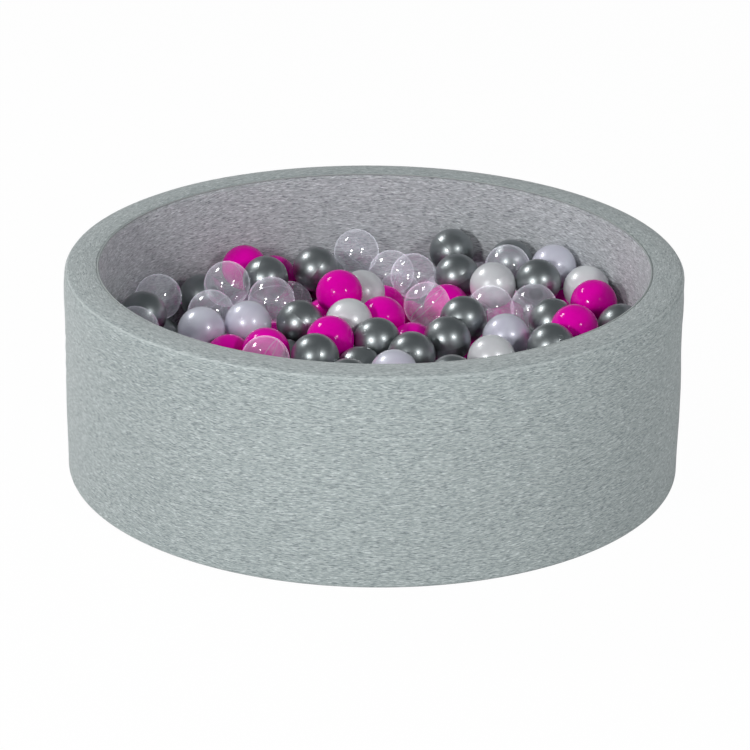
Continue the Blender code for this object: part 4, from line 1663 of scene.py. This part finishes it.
@dataclass
class Viewpoint:
    """The photograph's viewpoint, as a camera in front of the tub."""

    elevation: float = math.radians(21.88)
    roll: float = math.radians(-0.73)
    focal_pixels: float = 3163.0
    centre_pixels: tuple[float, float] = (373.6, 363.1)
    distance: float = 4.654
    aim_height: float = 0.150
    picture_pixels: float = 750.0
    sensor_width: float = 36.0

    def axes(self) -> Array:
        """The ways to the right, up and ahead of the unrolled view, as rows."""
        level, steep = math.cos(self.elevation), math.sin(self.elevation)
        return np.array(((1, 0, 0), (0, steep, level), (0, level, -steep)))

    def eye(self) -> Array:
        """Where the view is seen from."""
        return np.array((0, 0, self.aim_height)) - self.distance * self.axes()[2]

    def picture_place(self, points: Array) -> Array:
        """Where points of the scene lie in the picture.

        With v the point less the eye, x = f (v.right) / (v.ahead) and y = f (v.up) / (v.ahead), turned by the
        roll and counted from the picture's centre, rows downwards.

        Args:
            points: the points, of shape (N, 3).

        Returns:
            Their columns and rows, of shape (N, 2).
        """
        right, up, ahead = self.axes()
        seen = points - self.eye()
        deep = seen @ ahead
        x, y = self.focal_pixels * (seen @ right) / deep, self.focal_pixels * (seen @ up) / deep
        turn, lean = math.cos(self.roll), math.sin(self.roll)
        column = self.centre_pixels[0] + turn * x - lean * y
        row = self.centre_pixels[1] - (lean * x + turn * y)
        return np.stack([column, row], axis=1)

    def camera(self) -> bpy.types.Object:
        """Makes the camera, aimed so that the picture's middle falls where the photograph's does."""
        right, up, ahead = self.axes()
        turn, lean = math.cos(self.roll), math.sin(self.roll)
        across, upward = turn * right - lean * up, lean * right + turn * up
        middle = self.picture_pixels / 2
        aim = ahead * self.focal_pixels + across * (middle - self.centre_pixels[0])
        aim = aim - upward * (middle - self.centre_pixels[1])
        back = -Vector(aim).normalized()
        side = Vector(upward).cross(back).normalized()
        data = bpy.data.cameras.new("view")
        data.sensor_width = self.sensor_width
        data.lens = self.focal_pixels / self.picture_pixels * self.sensor_width
        made = bpy.data.objects.new("view", data)
        turned = Matrix((side, back.cross(side), back)).transposed().to_4x4()
        made.matrix_world = Matrix.Translation(Vector(self.eye())) @ turned
        bpy.context.scene.collection.objects.link(made)
        bpy.context.scene.camera = made
        return made


@dataclass
class BallHeap:
    """The play balls: the frame's separate ones, those that show between them and the buried ones.

    A detailed ball has rows of points by its mould line and by its plug's groove, at seam_places and
    groove_places, counted in half widths of the mould line. Its even rows keep clear of them: they lie
    beyond seam_band half widths, and beyond plug_band times the reach of the groove's last row.
    """

    effects: Effects
    frame: dict
    view: Viewpoint
    columns: int = 64
    bed_columns: int = 36
    buried_columns: int = 12
    seam_rise: float = 0.16 * MM
    seam_half_width: float = 0.55 * MM
    seam_places: tuple[float, ...] = (-2.6, -1.3, -0.6, 0, 0.6, 1.3, 2.6)
    seam_band: float = 3.2
    plug_radius: float = 3.6 * MM
    plug_groove: float = 0.22 * MM
    groove_places: tuple[float, ...] = (-2.0, -1.0, -0.4, 0.4, 1.0, 2.0)
    groove_share: float = 0.7
    plug_band: float = 1.15
    dome_reach_share: float = 0.9
    dome_depth: float = 2.0 * MM
    buried_layers: Pair = (0.0783, 0.1150)
    balls_per_layer: int = 86
    settle_rounds: int = 160
    settle_pace: float = 0.6
    no_distance: float = 1e-9
    separate_seed: int = 100
    bed_seed: int = 900
    finish_stride: int = 7
    tucked_reach_pixels: float = 12.0
    frame_balls: list[str] = field(init=False)
    radius: float = field(init=False)
    bed_level: float = field(init=False)
    materials: dict[BallFinish, bpy.types.Material] = field(init=False)

    def __post_init__(self) -> None:
        """Reads the balls' places from the frame and starts their materials."""
        names = (name for name in self.frame["nodes"] if name.startswith("ball_") and name[-1].isdigit())
        self.frame_balls = sorted(names)
        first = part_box(self.frame_balls[0])
        self.radius = (first[1].z - first[0].z) / 2
        self.bed_level = min(self.seat(node)[2] for node in self.frame_balls) - self.radius
        self.materials = {finish: look.material(self.effects) for finish, look in BALL_LOOKS.items()}

    def seat(self, node: str) -> Array:
        """The middle of a ball of the frame."""
        low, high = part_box(node)
        return np.array((low + high) / 2)

    def ball(self, columns: int, detail: bool) -> Surface:
        """A ball about the origin, with its mould line round the equator and its plug at the upper pole.

        The point at polar angle t and azimuth a lies at distance R(t): the radius, plus a ridge
        rise * exp(-((t - pi/2) R / w)^2) at the mould line, less a groove of the same form round the plug.

        Args:
            columns: how many steps it has round its axis.
            detail: whether it has its mould line and plug.

        Returns:
            The ball.
        """
        rows = columns // 2
        polar = np.linspace(0, math.pi, rows + 1)[1:-1]
        if detail:
            close = self.seam_half_width / self.radius * np.array(self.seam_places)
            ring = (self.plug_radius + self.seam_half_width * np.array(self.groove_places)) / self.radius
            by_seam = np.abs(polar - math.pi / 2) < self.seam_band * self.seam_half_width / self.radius
            clear = ~by_seam & (polar > ring[-1] * self.plug_band)
            polar = np.sort(np.concatenate([polar[clear], close + math.pi / 2, ring]))
        polar = polar[::-1]
        reach = np.full(len(polar), self.radius)
        if detail:
            groove_half_width = self.groove_share * self.seam_half_width
            seam = np.exp(-(((polar - math.pi / 2) * self.radius / self.seam_half_width) ** 2))
            plug = np.exp(-(((polar * self.radius - self.plug_radius) / groove_half_width) ** 2))
            reach = reach + self.seam_rise * seam - self.plug_groove * plug
        path = np.stack([reach * np.sin(polar), reach * np.cos(polar)], axis=1)
        ends = np.array(((0, -self.radius), (0, self.radius)))
        made = revolve(np.concatenate([ends[:1], path, ends[1:]]), columns)
        made.quad_uv[..., 1] -= run_lengths(path)[np.abs(polar - math.pi / 2).argmin()]
        made.triangle_uv[..., 1] += self.radius
        return made

    def any_turn(self, number: int) -> Array:
        """An even rotation matrix, the same one each time for a number."""
        draw = np.random.default_rng(number)
        matrix, _ = np.linalg.qr(draw.normal(size=(3, 3)))
        return matrix * np.sign(np.linalg.det(matrix))

    def separate_balls(self) -> list[bpy.types.Object]:
        """The balls that can be told apart, each riding on its own body."""
        made = []
        whole = self.ball(self.columns, True)
        for number, node in enumerate(self.frame_balls):
            finish = BallFinish(node.split("_")[1])
            surface = whole.turned(self.any_turn(number + self.separate_seed)).moved(self.seat(node))
            piece = make_object("play_" + node, surface, self.materials[finish])
            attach(piece, body_of_node(self.frame, node))
            made.append(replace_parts(piece, node))
        return made

    def shown_bed_places(self) -> Array:
        """The middles of the bed's balls: the top of each of the bed's domes lies one radius above its ball.

        A top is a point with none higher near it, and no more than dome_depth below bed_level. That level is
        a radius below the lowest separate ball's middle, and the buried balls reach up to it.
        """
        points = np.unique(node_points(self.frame, "ball_bed").round(6), axis=0)
        flat = np.linalg.norm(points[:, None, :2] - points[None, :, :2], axis=2)
        higher = points[None, :, 2] > points[:, None, 2] + ON_LEVEL
        beaten = ((flat < self.radius * self.dome_reach_share) & higher).any(axis=1)
        tops = points[~beaten & (points[:, 2] > self.bed_level - self.dome_depth)]
        log.info("the bed has %d domes", len(tops))
        return tops - np.array((0, 0, self.radius))

    def settled(self, fixed: Array) -> Array:
        """Where the buried balls lie.

        They start on spirals in layers, at radius R * sqrt((k + 1/2) / n) and k golden angles. In each round
        a ball moves away from each fixed ball that it overlaps, by settle_pace of the overlap, and then by
        half as much from where each free ball stood at the round's start. That holds for its own place too,
        so a ball that a fixed one has pushed is driven on the same way, which shakes the heap through. Then
        all are brought back inside the wall, above the floor and below the bed's level.

        Args:
            fixed: the middles of the balls that stay where they are.

        Returns:
            The middles of the buried balls.
        """
        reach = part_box("ball_bed")[1].x - self.radius
        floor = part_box("ball_bed")[0].z + self.radius
        count = np.arange(self.balls_per_layer)
        spiral = reach * np.sqrt((count + 0.5) / self.balls_per_layer)
        layers = []
        for layer, level in enumerate(self.buried_layers):
            angle = count * GOLDEN_ANGLE + layer
            ring = spiral[:, None] * np.stack([np.cos(angle), np.sin(angle)], axis=1)
            layers.append(np.column_stack([ring, np.full(len(count), level)]))
        free = np.concatenate(layers)
        for _ in range(self.settle_rounds):
            for others, share in ((fixed, 1.0), (free, 0.5)):
                between = free[:, None] - others[None]
                apart = np.linalg.norm(between, axis=2)
                apart[apart < self.no_distance] = np.inf
                overlap = np.clip(2 * self.radius - apart, 0, None) * share
                free = free + (between / apart[..., None] * overlap[..., None]).sum(axis=1) * self.settle_pace
            out = np.linalg.norm(free[:, :2], axis=1)
            free[:, :2] *= np.minimum(1, reach / np.maximum(out, self.no_distance))[:, None]
            free[:, 2] = np.clip(free[:, 2], floor, self.bed_level - self.radius)
        return free

    def finish_for(self, number: int) -> BallFinish:
        """A finish for a ball that can't be told apart, spread evenly by the golden ratio."""
        place = (number * GOLDEN_ANGLE / FULL_TURN * self.finish_stride) % 1
        for finish, share in FINISH_SHARES.items():
            place -= share
            if place < 0:
                return finish
        return BallFinish.GRAPHITE

    def bed_balls(self) -> list[bpy.types.Object]:
        """The balls between and under those that stand alone, one piece for each finish."""
        shown = self.shown_bed_places()
        alone = np.array([self.seat(node) for node in self.frame_balls])
        buried = self.settled(np.concatenate([alone, shown]))
        finishes = [self.finish_for(number) for number in range(len(shown) + len(buried))]
        places = self.view.picture_place(shown)
        for finish, column, row in TUCKED_BALL_PIXELS:
            near = np.linalg.norm(places - np.array((column, row)), axis=1)
            if near.min() < self.tucked_reach_pixels:
                finishes[int(near.argmin())] = finish
        surfaces: dict[BallFinish, list[Surface]] = {}
        forms = {True: self.ball(self.bed_columns, True), False: self.ball(self.buried_columns, False)}
        for number, middle in enumerate(np.concatenate([shown, buried])):
            surface = forms[number < len(shown)].turned(self.any_turn(number + self.bed_seed)).moved(middle)
            surfaces.setdefault(finishes[number], []).append(surface)
        made = []
        for finish, parts in surfaces.items():
            piece = make_object("bed_balls_" + finish.value, joined(parts), self.materials[finish])
            made.append(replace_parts(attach(piece, "tub"), "ball_bed"))
        return made

    def build(self) -> list[bpy.types.Object]:
        """Builds all the balls."""
        return [*self.separate_balls(), *self.bed_balls()]


@dataclass(frozen=True)
class SoftBox:
    """A rectangular lamp: its way from the tub, its width and height, and its power in watts."""

    name: str
    way: Triple
    size: Pair
    power: float


SOFT_BOXES = (
    SoftBox("front_left", (-0.466, -0.798, 0.383), (0.40, 0.40), 44.0),
    SoftBox("front_right", (0.533, -0.671, 0.516), (0.34, 0.34), 24.0),
    SoftBox("back_left", (-0.618, 0.380, 0.687), (0.90, 0.50), 31.0),
)


@dataclass
class Studio:
    """A white floor and soft lamps."""

    floor_size: float = 40.0
    floor_drop: float = 0.2 * MM
    floor_paint: Triple = (0.86, 0.86, 0.86)
    floor_glow_share: float = 0.98
    overhead: Triple = (0.17, 0.18, 0.19)
    horizon_top: float = 0.13
    horizon_end: float = 0.36
    lamp_distance: float = 3.2
    lamp_aim: Triple = (0.0, 0.0, 0.2)

    def floor(self) -> bpy.types.Object:
        """A white floor that keeps a trace of the tub's shadow.

        Seen by the camera, in a mirror or through a clear ball it glows white, and otherwise it is painted.
        """
        reach = np.array((-self.floor_size / 2, self.floor_size / 2))
        across, along = np.meshgrid(reach, reach, indexing="ij")
        points = np.stack([across, along, np.full((2, 2), -self.floor_drop)], axis=2)
        surface = grid_surface(points, np.array((0.0, 1.0)), np.array((0.0, 1.0)), False, False)
        material = bpy.data.materials.new("floor")
        material.use_nodes = True
        nodes = Nodes(material.node_tree)
        paint = nodes.add("BsdfDiffuse", Color=opaque(self.floor_paint))
        glow = nodes.add("Emission", Color=WHITE, Strength=1.0)
        path = nodes.add("LightPath")
        seen = nodes.math("MAXIMUM", path.outputs["Is Camera Ray"], path.outputs["Is Glossy Ray"])
        seen = nodes.math("MAXIMUM", seen, path.outputs["Is Transmission Ray"])
        share = nodes.math("MULTIPLY", seen, self.floor_glow_share)
        mix = nodes.add("MixShader", in0=share, in1=paint.outputs[0], in2=glow.outputs[0])
        nodes.add("OutputMaterial", Surface=mix.outputs[0])
        made = make_object("studio_floor", surface, material)
        return made

    def world(self) -> None:
        """Soft light from all round: white up to the horizon and some way above, and dim overhead.

        With h the height of the way looked in, as a share, the light is white below h = horizon_top and
        overhead above h = horizon_end, eased between the two.
        """
        world = bpy.data.worlds.new("studio")
        bpy.context.scene.world = world
        world.use_nodes = True
        nodes = Nodes(world.node_tree)
        height = nodes.add("SeparateXYZ", Vector=nodes.add("TexCoord").outputs["Generated"]).outputs[2]
        share = nodes.spread(height, self.horizon_top, self.horizon_end)
        colour = nodes.blend(share, WHITE, opaque(self.overhead))
        nodes.add("OutputWorld", Surface=nodes.add("Background", Color=colour, Strength=1.0).outputs[0])

    def lamp(self, box: SoftBox) -> bpy.types.Object:
        """Hangs up a lamp, looking at the tub."""
        data = bpy.data.lights.new(box.name, "AREA")
        data.shape = "RECTANGLE"
        data.size, data.size_y = box.size
        data.energy = box.power
        made = bpy.data.objects.new(box.name, data)
        toward = Vector(box.way).normalized()
        made.location = toward * self.lamp_distance + Vector(self.lamp_aim)
        made.rotation_euler = toward.to_track_quat("Z", "Y").to_euler()
        bpy.context.scene.collection.objects.link(made)
        return made

    def build(self) -> None:
        """Builds the floor, the light and the lamps."""
        self.floor()
        self.world()
        for box in SOFT_BOXES:
            self.lamp(box)


def main() -> None:
    """Builds the looks round the frame."""
    logging.basicConfig(level=logging.INFO, format="%(message)s")
    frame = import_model()
    bpy.context.scene.view_settings.view_transform = "Standard"
    effects = Effects()
    view = Viewpoint()
    view.camera()
    Studio().build()
    for maker in (SoftTub(effects, frame), RearZip(effects, frame), BallHeap(effects, frame, view)):
        for piece in maker.build():
            log.info("%s: %d faces", piece.name, len(piece.data.polygons))


if __name__ == "__main__":
    main()
